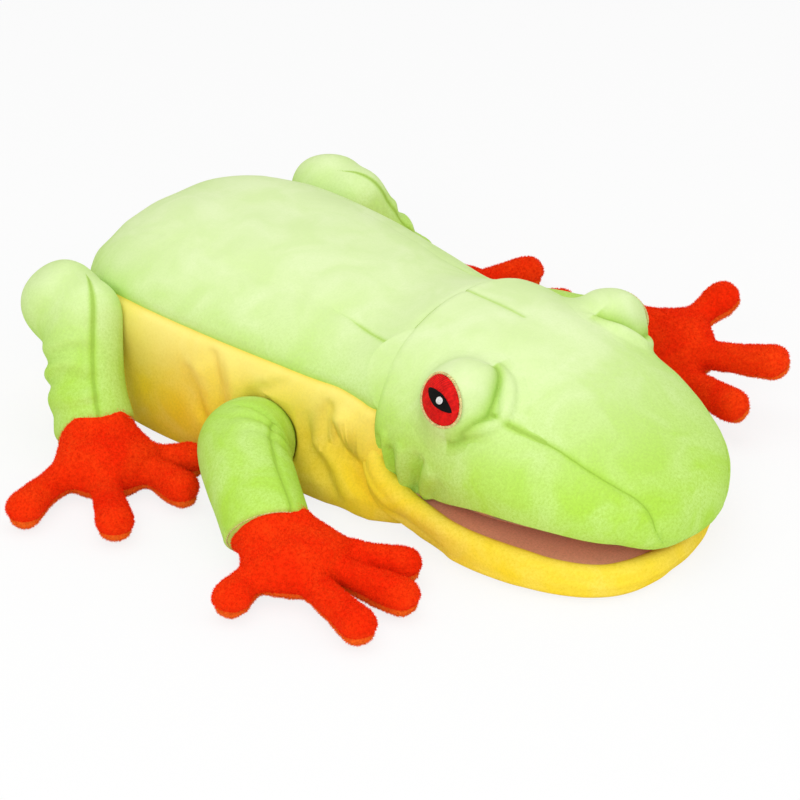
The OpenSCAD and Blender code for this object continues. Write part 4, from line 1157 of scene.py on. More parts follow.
def lip_path():
    """Lip from behind the left cheek round the chin to the right: places, ways, sizes, share of collar."""
    rows = [[58.5, -30.5, 43, 3, 2, 2], [64.3, -36.2, 32, 4.8, 3, 3], [67.6, -43, 25, 5.6, 4, 4],
            [68.2, -51, 20.6, 5.8, 5, 6], [68.4, -60, 17.4, 5.5, 7, 8]]
    for s in JAW_SHAPE[1:] + [[1.003, 0]]:
        y = mouth_y() - 5 - s[0] * mm("jaw_l")
        ahead = mouth_y() - y
        rim, foot = lower_lip(y) + 3.0 * ease(ahead / 26) - 5, 5.0 + 3 * ease((26 - ahead) / 12)
        rows.append([s[1] * mm("jaw_w") / 2, y, rim, 5, rim - foot, foot])
    half = spline(rows, np.linspace(0, len(rows) - 1, 500))
    path = np.concatenate([half, half[-2::-1] * [-1, 1, 1, 1, 1, 1]])
    run = np.concatenate([[0], np.cumsum(np.linalg.norm(np.diff(path[:, :3], axis=0), axis=1))])
    even = np.linspace(0, run[-1], 300)
    path = np.stack([np.interp(even, run, path[:, k]) for k in range(6)], -1)
    line = path[:, :3]
    ahead = unit(np.gradient(line, axis=0))
    out = unit(np.stack([-ahead[:, 1], ahead[:, 0], 0 * ahead[:, 0]], -1))
    out = out * np.sign(np.sum(out * (line - [0, -60, 0]), axis=1, keepdims=True))
    down = unit(np.cross(ahead, out))
    down = down * -np.sign(down[:, 2:])
    collar = ease((line[:, 1:2] + 62) / 12)
    down = unit(down * collar - UP * (1 - collar))
    line[:, 0] += chin_skew(line[:, 1])
    return line, out, down, path[:, 3], path[:, 4], path[:, 5], collar


def build_chin():
    """Chin and throat in one: a puffed lip round the jaw that rises behind the cheeks, closed below."""
    line, out, down, radius, wall, foot, collar = lip_path()
    # Below its lip the chin is drawn in towards the table, most beside the mouth corners
    drawn = (4.6 * (1 - ease((mouth_y() - line[:, 1] - 26) / 42)) * (1 - collar[:, 0]))[:, None]
    rows, facings = [], []
    for f in np.radians(np.linspace(200, 0, 20)):
        inset, rise = radius * (math.cos(f) - 1), radius * math.sin(f)
        rows.append(line + out * inset[:, None] - down * rise[:, None])
        facings.append(out * math.cos(f) - down * math.sin(f))
    for k in np.linspace(0, 1, 8)[1:-1]:
        rows.append(line + out * (0.9 * math.sin(math.pi * k) - drawn * k) + down * (wall * k)[:, None])
        facings.append(out)
    for f in np.radians(np.linspace(0, 90, 9)):
        drop = wall + (foot - 0.1) * math.sin(f)
        rows.append(line + out * ((foot * (math.cos(f) - 1))[:, None] - drawn) + down * drop[:, None])
        facings.append(out * math.cos(f) + down * math.sin(f))
    sole = rows[-1]
    spine = np.stack([0.4 * chin_skew(line[:, 1]), np.clip(line[:, 1], -128, -58), 0 * radius + REST], -1)
    spine = spine * (1 - collar) + (sole - out * 5) * collar
    for k in np.linspace(0, 1, 14)[1:]:
        rows.append(sole * (1 - k) + spine * k)
        facings.append(down)
    p, facing = np.stack(rows), np.stack(facings)
    n = grid_normals(p, facing)
    n[-3:] = down
    lift = 0.45 * lumps(p, 45, 41) + 0.12 * lumps(p, 15, 43)
    lift += folds(p, [((-56, 9), (-80, 5), -1.4, 4)], 36, 12)
    p = p + n * (lift * ease((38 - np.arange(len(p))) / 6)[:, None])[..., None]
    p[..., 2] = np.maximum(p[..., 2], REST)
    piece = place_piece("chin_plush", shell("chin_plush", p, n, cloth_mm("plush_t")), yellow_plush())
    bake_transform(piece)
    declare(piece, "yellow_plush", ["chin_panel", "jaw_fill"], 0.7)


def build_mouth_floor():
    """Cloth on the floor of the mouth, inside the lip of the chin."""
    y = np.linspace(mouth_y() - 1.5, lip_path()[0][:, 1].min() + 9.5, 70)
    left = np.array([[mouth_y() - 5 - s[0] * mm("jaw_l"), s[1] * mm("jaw_w") / 2] for s in JAW_SHAPE])
    left = spline(left, np.linspace(0, len(left) - 1, 200))
    half = np.maximum(np.interp(-y, -left[:, 0], left[:, 1]) - 8.3, 1)[:, None]
    s = np.linspace(-1, 1, 70)[None, :]
    y = y[:, None] + 0 * s
    z = lower_lip(y) - 0.05 + 0.3 * (1 + np.cos(2.6 * s + y / 10)) * (1 - s ** 4)
    p = np.stack([half * s + chin_skew(y), y, z], -1)
    floor = place_piece("mouth_floor_cloth", shell("mouth_floor_cloth", p, p * 0 + UP, 0.9), mouth_cloth())
    sew(floor, "jaw", "mouth_cloth", ["mouth_floor"])


# Eyes

def dome_point(rise, reach, turned):
    """Point of the eye dome at an angle from the middle of its patch, in a direction round it."""
    level = unit(np.cross(UP, EYE_FACE))
    upright = np.cross(EYE_FACE, level)
    reach, turned = np.asarray(reach, float)[..., None], np.asarray(turned, float)[..., None]
    way = np.cos(reach) * EYE_FACE + np.sin(reach) * (np.cos(turned) * level + np.sin(turned) * upright)
    return eye_centre() + (mm("eye_r") + np.asarray(rise, float)[..., None]) * way


def head_depth(p):
    """Distance of points from the skin of the head, negative inside."""
    table = np.linspace(0, 8, 300)
    rows = head_sections(table)
    t = np.interp(-p[..., 1], -rows[:, 0], table)
    _, half, top, mid, n = (np.moveaxis(head_sections(t), -1, 0)[k] for k in range(5))
    x, z = np.abs(p[..., 0]) / half, np.abs(p[..., 2] - mid) / (top - mid)
    level = np.maximum((x ** n + z ** n) ** (1 / n), 1e-6)
    r = np.hypot(p[..., 0], p[..., 2] - mid)
    return r - r / level


def blended(a, b, soft):
    """Nearer of two distances, with a fillet of width soft where they meet."""
    h = np.maximum(soft - np.abs(a - b), 0) / soft
    return np.minimum(a, b) - h * h * soft / 4


def eye_skin():
    """Skin over the eye dome and its lid, the way it faces, where it is lid, and how far the crease is,
    where a dark seam line and painted shade are drawn.
    """
    centre, r = eye_centre(), mm("eye_r")
    tilt = unit([head_depth(centre + d) - head_depth(centre - d) for d in np.eye(3) * 0.5])
    root = centre - 18 * tilt
    across = unit(np.cross(UP, tilt))
    along = np.cross(tilt, across)
    f = np.radians(np.linspace(0, 72, 96))[:, None, None]
    g = np.linspace(0, 2 * math.pi, 176, endpoint=False)[None, :, None]
    way = np.cos(f) * tilt + np.sin(f) * (np.cos(g) * across + np.sin(g) * along)
    # The fillet is wide behind, above and below, and narrow where the lid lies against the dome
    soft = 0.8 + 5 * ease((way[..., 1] + 0.35) / 0.5)
    rows = spline(LID, np.linspace(0, len(LID) - 1, 64))
    line = dome_point(rows[:, 2], np.radians(rows[:, 1]), np.radians(rows[:, 0]))
    far = np.full(way.shape[:2], 62.0)
    for _ in range(48):
        p = root + far[..., None] * way
        off = p - centre
        off[..., 1] -= (0.35 + 0.5 * ease((off[..., 2] + 4) / 12)) * np.maximum(0, -off[..., 1] - 6)
        ball = np.linalg.norm(off, axis=-1) - r
        lid = np.min([np.linalg.norm(p - spot, axis=-1) - size
                      for spot, size in zip(line, rows[:, 3])], axis=0)
        skin = head_depth(p) - 0.35 + 0.9 * ease((np.minimum(ball, lid) - 2) / 10)
        cheek = blended(lid, skin, 3.0)
        far = far - 0.75 * blended(ball, cheek, soft)
    # Distance from the crease round the front of the dome; the plush draws a dark seam line there with
    # painted shade in the crease, and elsewhere it is far off
    crease = 0.5 * np.maximum(ball, cheek) + 20 * ease((soft - 1.5) / 2)
    return p, unit(way + 0 * p), (lid < ball) & (lid < skin), crease


def turned_to(face):
    """Turn that brings the patch of the eye from its usual facing to another one."""
    return np.array(Vector(EYE_FACE).rotation_difference(Vector(face)).to_matrix()).T


def build_eyes():
    """Domes and lids in green plush, and the embroidered patches on them."""
    grid, facing, lid, crease = eye_skin()
    corners = [np.roll(lid, -k, axis=1) for k in (0, 1)]
    lid = corners[0][:-1] & corners[0][1:] & corners[1][:-1] & corners[1][1:]
    red, black = satin("red_satin", cloth("iris")), satin("black_satin", cloth("black"), 0.7)
    white, cream = satin("white_satin", cloth("white")), cream_thread()
    g = np.linspace(0, 2 * math.pi, 96, endpoint=False)
    half, lean, slant = turn("iris_half"), math.radians(50), math.radians(23)
    iris = half / np.sqrt(np.cos(g + lean) ** 2 + (np.sin(g + lean) / 1.3) ** 2)
    along, across = np.abs(np.cos(g - slant)), np.abs(np.sin(g - slant)) / 0.38
    pupil = half * 0.85 * (along ** 1.5 + across ** 1.5) ** (-1 / 1.5)
    for left, tag, mirror in SIDES:
        # The far eye looks a little further back and down
        face = np.array([0.94, 0.25, 0.14]) if left else EYE_FACE
        # The cheek seam runs on over the skin in front of the lid
        t = np.linspace(1.5, 6.5, 260)
        line = head_points(t, (FAR_SEAM if left else 1.0) * cheek_share(t)[:, None])[:, 0]
        gap = np.min([np.linalg.norm(grid - spot, axis=-1) for spot in line], axis=0)
        gap = np.maximum(0, gap - 0.7) + 12 * ease((grid[..., 1] - eye_centre()[1] + 9) / 3)
        # Marks of the cheek seam and of the crease round the dome, drawn as dark lines with painted shade
        # beside them
        marks = np.minimum(crease, 1.4 * gap)
        lift = 0.25 * lumps(grid, 13, 61 if left else 67) - 0.4 * np.exp(-(gap / 1.3) ** 2)
        p = grid + facing * lift[..., None]
        for name, keep in (("eye_dome", ~lid), ("eyelid", lid)):
            mesh = shell(name, p * mirror, facing * mirror, 1.2, wrap=True, seam=marks, keep=keep)
            piece = place_piece(f"{name}_plush_{tag}", mesh, green_plush())
            sew(piece, "head", "green_plush", [f"{name}_{tag}"], 0.9)

        for name, edge, low, crown, ahead, material, slot in (
            ("iris_stitch_", iris, 0.35, 0.9, 0, red, "red_thread"),
            ("pupil_stitch_", pupil, 1.1, 0.65, 0.05, black, "black_thread"),
            ("glint_stitch_", np.radians(4.4) + 0 * g, 1.65, 0.5, 0.1, white, "white_thread"),
        ):
            share = np.concatenate([[1, 1], np.linspace(0.97, 0, 22)])
            rise = low + crown * np.concatenate([[0, 0.5], 1 - 0.35 * share[2:] ** 6])
            patch = dome_point(rise[:, None] + 0 * g, share[:, None] * edge, g + 0 * share[:, None])
            patch = np.concatenate([dome_point(0 * g[None] - 0.2, 0 * g[None], g[None]), patch])
            patch = eye_centre() + (patch - eye_centre()) @ turned_to(face - [0, ahead, 0])
            out = unit(patch - eye_centre())
            out[0] *= -1
            piece = place_piece(name + tag, shell(name, patch * mirror, out * mirror, wrap=True), material)
            sew(piece, "head", slot, [name.replace("_stitch_", "_") + tag])
        edge = dome_point(0.9 + 0 * g, iris + math.radians(1.9), g) - eye_centre()
        edge = eye_centre() + edge @ turned_to(face)
        outline = stitches("eye_outline_stitch_" + tag, edge * mirror, cream, 1.4, 2.0, 1.4)
        sew(outline, "head", "cream_thread", ["eye_outline_" + tag])


# Limbs

def bezier(path, t):
    a, b, c, d = (np.asarray(q, float) for q in path)
    t = np.asarray(t, float)[..., None]
    return (1 - t) ** 3 * a + 3 * (1 - t) ** 2 * t * b + 3 * (1 - t) * t * t * c + t ** 3 * d


def limb_grid(path, radii, ref, stop, end):
    """Stations, turns, points and facings of a stuffed limb from its round root to its drawn-in end."""
    t = np.linspace(0, stop, 70)
    spine = bezier(path, t)
    ahead = unit(np.gradient(spine, axis=0))
    radius = spline(np.array(radii)[:, None], t * (len(radii) - 1))[:, 0]
    root = np.radians(np.linspace(-90, -6, 16))
    cap = np.radians(np.linspace(10, 90, 10))
    centres = np.concatenate([spine[0] + radius[0] * np.sin(root)[:, None] * ahead[0], spine,
                              spine[-1] + end * np.sin(cap)[:, None] * ahead[-1]])
    sizes = np.concatenate([radius[0] * np.cos(root), radius, radius[-1] * np.abs(np.cos(cap)) ** 0.7])
    sizes[[0, -1]] = 0
    ways = np.concatenate([np.repeat(ahead[:1], 16, 0), ahead, np.repeat(ahead[-1:], 10, 0)])
    places = np.concatenate([root * 0, t, cap * 0 + stop])
    u = unit(np.cross(ways, ref))
    v = np.cross(ways, u)
    f = np.linspace(0, 2 * math.pi, 84, endpoint=False)[None, :, None]
    facing = np.cos(f) * u[:, None] + np.sin(f) * v[:, None]
    lean = np.concatenate([np.sin(root), 0 * t, np.sin(cap)])[:, None, None]
    p = centres[:, None] + sizes[:, None, None] * facing
    return places[:, None], f[..., 0], p, facing, facing * np.sqrt(1 - lean ** 2) + lean * ways[:, None]


def seam_gap(facing, ahead, way, radius):
    """Distance of each point of a limb from a seam that runs ahead along it on the side of way."""
    across = unit(way - (ahead * way).sum(-1, keepdims=True) * ahead)
    round_it = unit(facing - (facing * ahead).sum(-1, keepdims=True) * ahead)
    return np.maximum(0, radius * np.arccos(np.clip((round_it * across).sum(-1), -1, 1)) - 0.6)


def cuff_thread(name, places, p, body, mirror):
    """Thin line of cream thread round the end of a sleeve."""
    row = int(np.argmax(places[:, 0] >= CUFF)) + 3
    line = p[row] * mirror
    middle = line.mean(axis=0)
    line = middle + (line - middle) * 1.012
    line[:, 2] = np.maximum(line[:, 2], 0.7)
    sew(stitches(name, line, cream_thread(), 1.6, 1.7, 0.6), body, "cream_thread")


def build_arms():
    """Stuffed front legs with their folds and seams."""
    for left, tag, mirror in SIDES:
        s, w, bend = shoulder(), wrist(left), (-6 if left else 12)
        path = [s, s + [20, -6, bend / 2], w + [-2, 19, bend], w]
        if not left:
            # The near sleeve comes down over the root of the hand
            way = unit([9.5, -14, -9.5])
            path[2:] = [w - 15 * way + [0, 0, 4], w + 9.5 * way]
        d, e = mm("arm_d") - 2, mm("wrist_d")
        radii = [d / 2, d / 2 + LIMB_SWELL, (d + e) / 4 + LIMB_SWELL, e / 2 + 0.8]
        places, f, p, facing, out = limb_grid(path, radii, UP, CUFF, CUFF_DEPTH)
        ahead = np.cross(facing[:, :1], facing[:, 21:22])
        gap = seam_gap(facing, ahead, np.array([-0.02, -0.8, 0.6]), d / 2)
        gap = gap + 20 * ease((0.26 - places) / 0.1)
        lift = 0.5 * lumps(p, 34, 81 + left) + 0.2 * lumps(p, 13, 83 + left)
        front = ease(((facing * unit([-0.5, -0.7, 0.5])).sum(-1) - 0.15) / 0.5)
        for place, depth in ARM_FOLDS:
            lift += depth * front * np.exp(-((places + 0.03 * np.sin(3 * f) - place) / 0.028) ** 2)
        lift = lift * ease((CUFF - places) / 0.02 + 0.2)
        lift = lift - 0.5 * np.exp(-(gap / 1.6) ** 2) * ease((CUFF - places) / 0.18)
        skin = p + out * lift[..., None]
        skin[..., 2] = np.maximum(skin[..., 2], SLEEVE_REST)
        name, body = "arm_plush_" + tag, "arm_" + tag
        mesh = shell(name, skin * mirror, out * mirror, wrap=True, seam=1.5 * gap)
        piece = place_piece(name, mesh, green_plush())
        sew(piece, body, "green_plush", ["arm_sleeve_" + tag, "arm_fill_" + tag], 0.8)
        cuff_thread("wrist_thread_" + tag, places, p, body, mirror)


def build_legs():
    """Folded hind legs: thigh and shin in one skin, creased where they meet, with folds down the shin."""
    h, k, a = hip() + HIP_SET, knee(), ankle()
    wide = np.array([1.0, 0, 0])
    r = mm("thigh_d") / 2
    thigh = limb_grid([h, h + (k - h) / 3, h + (k - h) * 2 / 3, k], [r - 5, r - 2.5, r, r], wide, 1.0, r)
    top = k + [1, -14, 0]
    path = [top, top + [4, -3, -12], a + [-2, 10, 12], a + [1.5, -4, -4.5]]
    r, e = mm("shin_d") / 2 - 0.9, mm("wrist_d") / 2
    shin = limb_grid(path, [r + 0.6, r + 0.6, r + LIMB_SWELL, e + 1.4], wide, CUFF, CUFF_DEPTH)
    rough = joined("leg", [shell("leg", part[2], part[4], wrap=True) for part in (thigh, shin)])
    points, outs, faces = one_skin("leg", rough, 1.7, 16)
    t = np.linspace(0, CUFF, 90)
    spine = bezier(path, t)
    far = np.linalg.norm(points[:, None] - spine[None], axis=-1)
    near = far.argmin(axis=1)
    share, facing = t[near], unit(points - spine[near])
    on_shin = np.exp(-np.maximum(0, far.min(axis=1) - r - 0.8) ** 2 / 8)
    ahead = unit(np.gradient(spine, axis=0))[near]
    gap = seam_gap(facing, ahead, np.array([0.46, -0.86, 0.2]), r)
    gap = gap + 20 * (1 - np.exp(-np.maximum(0, far.min(axis=1) - r - 0.8) ** 2 / 40))
    outer = ease(((facing * unit([0.9, 0.2, 0.2])).sum(-1) - 0.1) / 0.4)
    wave = np.sin(2 * math.pi * (share * 4.4 + 0.3 * lumps(points, 26, 97)))
    creases = 1.1 * outer * wave * ease((share - 0.2) / 0.15) * ease((0.86 - share) / 0.1) * on_shin
    marks = np.clip(1 - 1.6 * gap / SEAM_SPAN, 0, 1)
    for left, tag, mirror in SIDES:
        lift = creases + 0.45 * lumps(points, 34, 91 + left) * ease((0.9 - share) / 0.05)
        lift -= 0.45 * np.exp(-(gap / 1.6) ** 2) * ease((0.9 - share) / 0.1) * ease((share - 0.01) / 0.15)
        p = points + outs * lift[:, None]
        p[:, 2] = np.maximum(p[:, 2], SLEEVE_REST)
        turned = faces if left else [f[::-1] for f in faces]
        name, body = "leg_plush_" + tag, "leg_" + tag
        piece = place_piece(name, clean_mesh(name, p * mirror, turned, 0.005, marks), green_plush())
        solids = [f"{part}_{kind}_{tag}" for part in ("thigh", "shin") for kind in ("sleeve", "fill")]
        sew(piece, body, "green_plush", solids, 0.8)
        cuff_thread("ankle_thread_" + tag, shin[0], shin[2], body, mirror)


def one_skin(name, rough, size, rounds, stuffing=None):
    """Points, normals and faces of one closed skin round crossing forms, puffed up if it has stuffing."""
    piece = place_piece(name, rough, green_plush())
    remesh = piece.modifiers.new("one_skin", "REMESH")
    remesh.mode, remesh.voxel_size = "VOXEL", size * MM
    baked(piece)
    work = bmesh.new()
    work.from_mesh(piece.data)
    for _ in range(rounds):
        bmesh.ops.smooth_vert(
            work, verts=work.verts, factor=0.5, use_axis_x=True, use_axis_y=True, use_axis_z=True)
    work.to_mesh(piece.data)
    work.free()
    if stuffing:
        puff(piece, *stuffing)
    finer = piece.modifiers.new("finer", "SUBSURF")
    finer.levels = finer.render_levels = 1
    baked(piece)
    points = np.array([v.co[:] for v in piece.data.vertices]) / MM
    outs = np.array([v.vector[:] for v in piece.data.vertex_normals])
    faces = [list(f.vertices) for f in piece.data.polygons]
    bpy.data.objects.remove(piece)
    return points, outs, faces


# Hands and feet

def oval(centre, way, a, b, count):
    """Ring of points round a place, across the way it runs."""
    u = unit(np.cross(way, UP))
    v = np.cross(way, u)
    f = np.linspace(0, 2 * math.pi, count, endpoint=False)[:, None]
    return centre + a * np.cos(f) * u + b * np.sin(f) * v


def paw_mesh(name, root, heading, digits):
    """Rough closed forms of a palm and its digits, in one mesh."""
    way = np.array([math.cos(math.radians(heading)), math.sin(math.radians(heading)), 0])
    long, half, high, low = mm("palm_l"), mm("palm_w") / 2, 12, mm("pad_d") / 2 - 0.5
    ball = mm("wrist_d") / 2 - 1.2
    # Place along the way, half-width, half-height and height of the middle
    sections = [[ball * math.sin(f), ball * math.cos(f), ball * math.cos(f), root[2]]
                for f in np.radians([-75, -50, -25])]
    sections += [[0, ball, ball, root[2]], [long * 0.27, ball * 0.99, ball * 0.95, root[2] - 1],
                 [long * 0.62, half * 0.92, high + 0.4, high], [long, half * 0.92, high - 0.6, high - 0.5],
                 [long * 1.22, half * 0.64, high - 2, low + 0.5], [long * 1.38, half * 0.32, high - 5, low]]
    flat = np.array([root[0], root[1], 0])
    points, faces = [], []

    def add(rings):
        faces.extend(loft_faces(len(rings), len(rings[0]), sum(len(q) for q in points)))
        points.extend(rings)
    add([oval(flat + s[0] * way + s[3] * UP, way, s[1], s[2], 40)
         for s in spline(sections, np.linspace(0, 8, 40))])
    r, thin = mm("pad_d") / 2 - 2.3, mm("digit_d") / 2 - 2.3
    across = np.cross(UP, way)
    for bearing, reach in digits:
        f = math.radians(heading + bearing)
        tip = flat + long * way + reach * np.array([math.cos(f), math.sin(f), 0])
        base = flat + long * 0.72 * way + half * 0.68 * np.clip(bearing / 60, -1, 1) * across
        toe, reach = unit(tip - base), np.linalg.norm(tip - base)
        base = base + (r + 0.4) * UP
        row = [[2, thin], [(reach - r) * 0.55, thin * 0.98]] + [
            [reach - r + r * math.sin(g), r * math.cos(g)] for g in np.radians([0, 30, 55, 78])]
        add([oval(base + s[0] * toe, toe, s[1], s[1] * 0.97, 28)
             for s in spline(row, np.linspace(0, 5, 26))])
    return clean_mesh(name, np.concatenate(points), faces)


def puff(piece, pressure, cap):
    """Blows a sewn form up a little as cloth, and keeps each point within cap of its place."""
    before = np.array([v.co[:] for v in piece.data.vertices])
    step = piece.modifiers.new("stuffing", "CLOTH")
    step.settings.use_pressure = True
    step.settings.uniform_pressure_force = pressure
    step.settings.effector_weights.gravity = 0
    step.settings.mass = 0.05
    step.settings.quality = 4
    step.settings.tension_stiffness = step.settings.compression_stiffness = 4
    step.settings.shear_stiffness = 1
    step.settings.bending_stiffness = 0.1
    step.settings.shrink_min = -0.04
    last = 20
    step.point_cache.frame_start, step.point_cache.frame_end = 1, last
    for k in range(1, last + 1):
        bpy.context.scene.frame_set(k)
    baked(piece)
    after = np.array([v.co[:] for v in piece.data.vertices])
    bpy.context.scene.frame_set(1)
    move = after - before
    size = np.linalg.norm(move, axis=1, keepdims=True)
    after = before + move * np.minimum(1, cap * MM / np.maximum(size, 1e-9))
    piece.data.vertices.foreach_set("co", after.ravel())
    piece.data.update()


def stuffed_paw(name, root, heading, digits):
    """Palm and digits as one stuffed form, cut along its sole seam: points, normals and faces."""
    points, outs, faces = one_skin(name, paw_mesh(name, root, heading, digits), 1.6, 5, (4, 1.2))
    mesh = bpy.data.meshes.new(name)
    mesh.from_pydata(points.tolist(), [], faces)
    work = bmesh.new()
    work.from_mesh(mesh)
    bpy.data.meshes.remove(mesh)
    bmesh.ops.bisect_plane(work, geom=work.verts[:] + work.edges[:] + work.faces[:], dist=0.01,
                           plane_co=(0, 0, mm("sole_seam")), plane_no=(0, 0, 1))
    work.normal_update()
    work.verts.index_update()
    points = np.array([v.co[:] for v in work.verts])
    outs = np.array([v.normal[:] for v in work.verts])
    faces = [[v.index for v in f.verts] for f in work.faces]
    work.free()
    return points, outs, faces


def build_paws():
    """Hands and feet with their soles and their pile."""
    kinds = {"hand": (wrist(False), HAND_TURN, HAND_DIGITS), "foot": (ankle(), FOOT_TURN, FOOT_DIGITS)}
    skins = (("top", 1, red_plush(), "red_plush"), ("sole", -1, sole_plush(), "orange_plush"))
    seam = mm("sole_seam")
    for kind, (root, heading, digits) in kinds.items():
        points, outs, faces = stuffed_paw(kind, root, heading, digits)
        near = np.exp(-((points[:, 2] - seam) / 1.5) ** 2)
        flat = unit(outs * [1, 1, 0.0001])
        for left, tag, _ in SIDES:
            lift = 0.45 * lumps(points, 24, 101 + left) + 0.2 * lumps(points, 9, 105 + left)
            p = points + outs * lift[:, None]
            p[:, 2] = np.where(np.abs(points[:, 2] - seam) < 0.01, seam, p[:, 2])
            p -= flat * near[:, None]
            p[:, 2] = np.maximum(p[:, 2], REST)
            pose = paw_pose(kind, left)
            p = p @ pose[:3, :3].T + pose[:3, 3]
            p[:, 2] = np.maximum(p[:, 2], REST)
            for part, keep, material, slot in skins:
                chosen = [f for f in faces if keep * (points[f, 2].mean() - seam) > 0]
                name = f"{kind}_{part}_plush_{tag}"
                used = sorted({k for f in chosen for k in f})
                where = {k: j for j, k in enumerate(used)}
                turned = [[where[k] for k in (f if left else f[::-1])] for f in chosen]
                piece = place_piece(name, clean_mesh(name, p[used], turned, 0.005), material)
                solids = [f"{kind}_{part}_{tag}"] + ([f"{kind}_fill_{tag}"] if part == "top" else [])
                sew(piece, f"{kind}_{tag}", slot, solids, 0.8)
                hair = grow(f"{kind}_{part}_pile_{tag}", piece, pile_tree(material), {
                    "Count": cloth("pile_count"), "Length": cloth("pile"), "Seed": 7 + left}, material)
                sew(hair, f"{kind}_{tag}", slot)


def paw_pose(kind, left):
    """Where a drawn hand or foot goes: mirrored on the right, and the left hand held off the table."""
    if not left:
        return np.diag([-1.0, 1, 1, 1])
    if kind == "foot":
        return np.eye(4)
    heading = math.radians(HAND_TURN)
    way = Vector((math.cos(heading), math.sin(heading), 0))
    across = Vector((0, 0, 1)).cross(way)
    pose = (Matrix.Translation(wrist(True)) @ Matrix.Rotation(turn("left_roll"), 4, way)
            @ Matrix.Rotation(turn("left_tip"), 4, -across) @ Matrix.Rotation(-turn("left_turn"), 4, "Z")
            @ Matrix.Translation(-wrist(False)))
    return np.array(pose)


# Stage

def build_camera():
    scene, stage = bpy.context.scene, bpy.context.scene.frog_stage
    eye = bpy.data.cameras.new("camera")
    camera = bpy.data.objects.new("camera", eye)
    scene.collection.objects.link(camera)
    back = Vector(CAMERA_WAY).normalized()
    right = Vector((0, 0, 1)).cross(back).normalized()
    up = back.cross(right)
    pose = Matrix((right, up, back)).transposed().to_4x4()
    pose.translation = stage.view
    camera.matrix_world = pose
    eye.angle = stage.field
    eye.shift_x, eye.shift_y = CAMERA_SHIFT
    eye.clip_end = 20
    scene.camera = camera


def floor_paper():
    """White paper that the camera sees partly glowing, so that it fades into the background."""
    material, weave, place, shader = new_material("floor_paper")
    tone = tuple(bpy.context.scene.frog_stage.floor)
    paper = weave.mix(noise(weave, place, 300, 2), darker(tone, 0.985), tone)
    dress(weave, shader, {"Base Color": paper}, {"Roughness": 1.0, "Specular IOR Level": 0.0})
    glow = weave.node("ShaderNodeEmission", None, {"Color": (1, 1, 1, 1), "Strength": 1.0})
    ray = weave.node("ShaderNodeLightPath")
    seen = ray.out("Is Camera Ray") + ray.out("Is Glossy Ray") + ray.out("Is Transmission Ray")
    share = weave.node("ShaderNodeMath", {"operation": "MINIMUM"}, {0: seen, 1: 1.0}) * 0.82
    both = weave.node("ShaderNodeMixShader", None, {0: share, 1: Wire(weave, shader.outputs[0]), 2: glow})
    weave.tree.links.new(both.socket, weave.tree.nodes["Material Output"].inputs[0])
    return material


def build_floor():
    mesh = bpy.data.meshes.new("floor")
    work = bmesh.new()
    bmesh.ops.create_grid(work, x_segments=2, y_segments=2, size=4)
    work.to_mesh(mesh)
    work.free()
    floor = place_piece("floor", mesh, floor_paper())
    floor.location = (0, 0, -0.0003)


def build_lights():
    scene = bpy.context.scene
    world = bpy.data.worlds.new("studio")
    world.use_nodes = True
    scene.world = world
    weave = Weave(world.node_tree)
    sky = world.node_tree.nodes["Background"]
    ray = weave.node("ShaderNodeLightPath")
    strength = 0.57 + 0.43 * ray.out("Is Camera Ray")
    sky.inputs[0].default_value = (1, 1, 1, 1)
    weave.tree.links.new(strength.socket, sky.inputs[1])
    for name, place, size, power in LAMPS:
        lamp = bpy.data.lights.new(name, "AREA")
        lamp.shape, lamp.size, lamp.energy = "DISK", size, power
        light = bpy.data.objects.new(name, lamp)
        light.location = place
        light.rotation_mode = "QUATERNION"
        light.rotation_quaternion = (Vector(place) - Vector(LIT_PLACE)).to_track_quat("Z", "Y")
        scene.collection.objects.link(light)
    scene.view_settings.view_transform = "Standard"


# Operators, panel and run

class FROG_OT_body(bpy.types.Operator):
    """Sew the green back and the yellow belly"""
    bl_idname = "frog.body"
    bl_label = "Body skin"

    def execute(self, context):
        build_body()
        return {"FINISHED"}


class FROG_OT_glove(bpy.types.Operator):
    """Sew the glove lining, its pockets and the rear hem"""
    bl_idname = "frog.glove"
    bl_label = "Glove and hem"

    def execute(self, context):
        build_glove()
        build_hem()
        build_pockets()
        return {"FINISHED"}


class FROG_OT_head(bpy.types.Operator):
    """Sew the crown, the cheeks and the roof of the mouth"""
    bl_idname = "frog.head"
    bl_label = "Head skin"

    def execute(self, context):
        build_head()
        build_mouth_roof()
        return {"FINISHED"}


class FROG_OT_jaw(bpy.types.Operator):
    """Sew the chin with its throat and the floor of the mouth"""
    bl_idname = "frog.jaw"
    bl_label = "Jaw"

    def execute(self, context):
        build_chin()
        build_mouth_floor()
        return {"FINISHED"}


class FROG_OT_eyes(bpy.types.Operator):
    """Raise the eye domes and their lids, and embroider the eyes"""
    bl_idname = "frog.eyes"
    bl_label = "Eyes"

    def execute(self, context):
        build_eyes()
        return {"FINISHED"}


class FROG_OT_arms(bpy.types.Operator):
    """Stuff the two front legs"""
    bl_idname = "frog.arms"
    bl_label = "Front legs"

    def execute(self, context):
        build_arms()
        return {"FINISHED"}


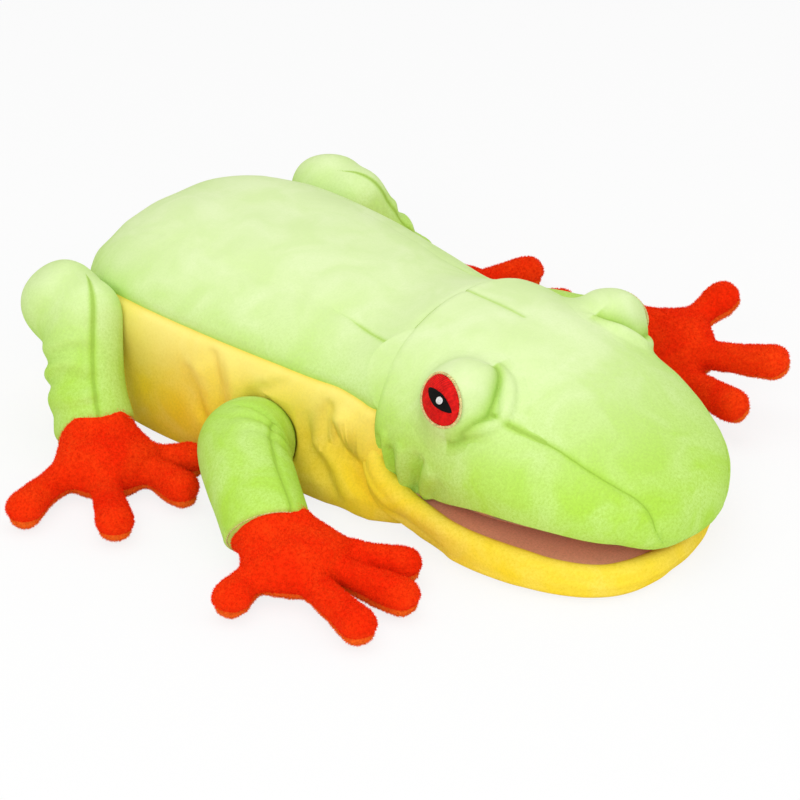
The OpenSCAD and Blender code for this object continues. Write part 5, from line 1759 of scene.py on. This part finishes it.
class FROG_OT_legs(bpy.types.Operator):
    """Stuff the two folded hind legs"""
    bl_idname = "frog.legs"
    bl_label = "Hind legs"

    def execute(self, context):
        build_legs()
        return {"FINISHED"}


class FROG_OT_paws(bpy.types.Operator):
    """Stuff the hands and feet and raise their pile"""
    bl_idname = "frog.paws"
    bl_label = "Hands and feet"

    def execute(self, context):
        build_paws()
        return {"FINISHED"}


class FROG_OT_stage(bpy.types.Operator):
    """Lay the floor and set the camera and the lamps"""
    bl_idname = "frog.stage"
    bl_label = "Stage"

    def execute(self, context):
        build_camera()
        build_floor()
        build_lights()
        return {"FINISHED"}


STEPS = (FROG_OT_stage, FROG_OT_body, FROG_OT_glove, FROG_OT_head, FROG_OT_jaw, FROG_OT_eyes, FROG_OT_arms,
         FROG_OT_legs, FROG_OT_paws)


class FROG_PT_sewing(bpy.types.Panel):
    """Steps of the puppet in the order in which they are sewn"""
    bl_idname = "FROG_PT_sewing"
    bl_label = "Tree frog puppet"
    bl_space_type = "VIEW_3D"
    bl_region_type = "UI"
    bl_category = "Frog"

    def draw(self, context):
        for step in STEPS:
            self.layout.operator(step.bl_idname)
        for group in (context.scene.frog_sizes, context.scene.frog_cloth, context.scene.frog_stage):
            box = self.layout.box()
            for name in group.__annotations__:
                box.prop(group, name)


CLASSES = (FrogSizes, FrogCloth, FrogStage, *STEPS, FROG_PT_sewing)


def register():
    for item in CLASSES:
        bpy.utils.register_class(item)
    bpy.types.Scene.frog_sizes = bpy.props.PointerProperty(type=FrogSizes)
    bpy.types.Scene.frog_cloth = bpy.props.PointerProperty(type=FrogCloth)
    bpy.types.Scene.frog_stage = bpy.props.PointerProperty(type=FrogStage)


def unregister():
    for name in ("frog_sizes", "frog_cloth", "frog_stage"):
        delattr(bpy.types.Scene, name)
    for item in reversed(CLASSES):
        bpy.utils.unregister_class(item)


def main():
    register()
    for step in STEPS:
        group, name = step.bl_idname.split(".")
        getattr(getattr(bpy.ops, group), name)()


if __name__ == "__main__":
    main()
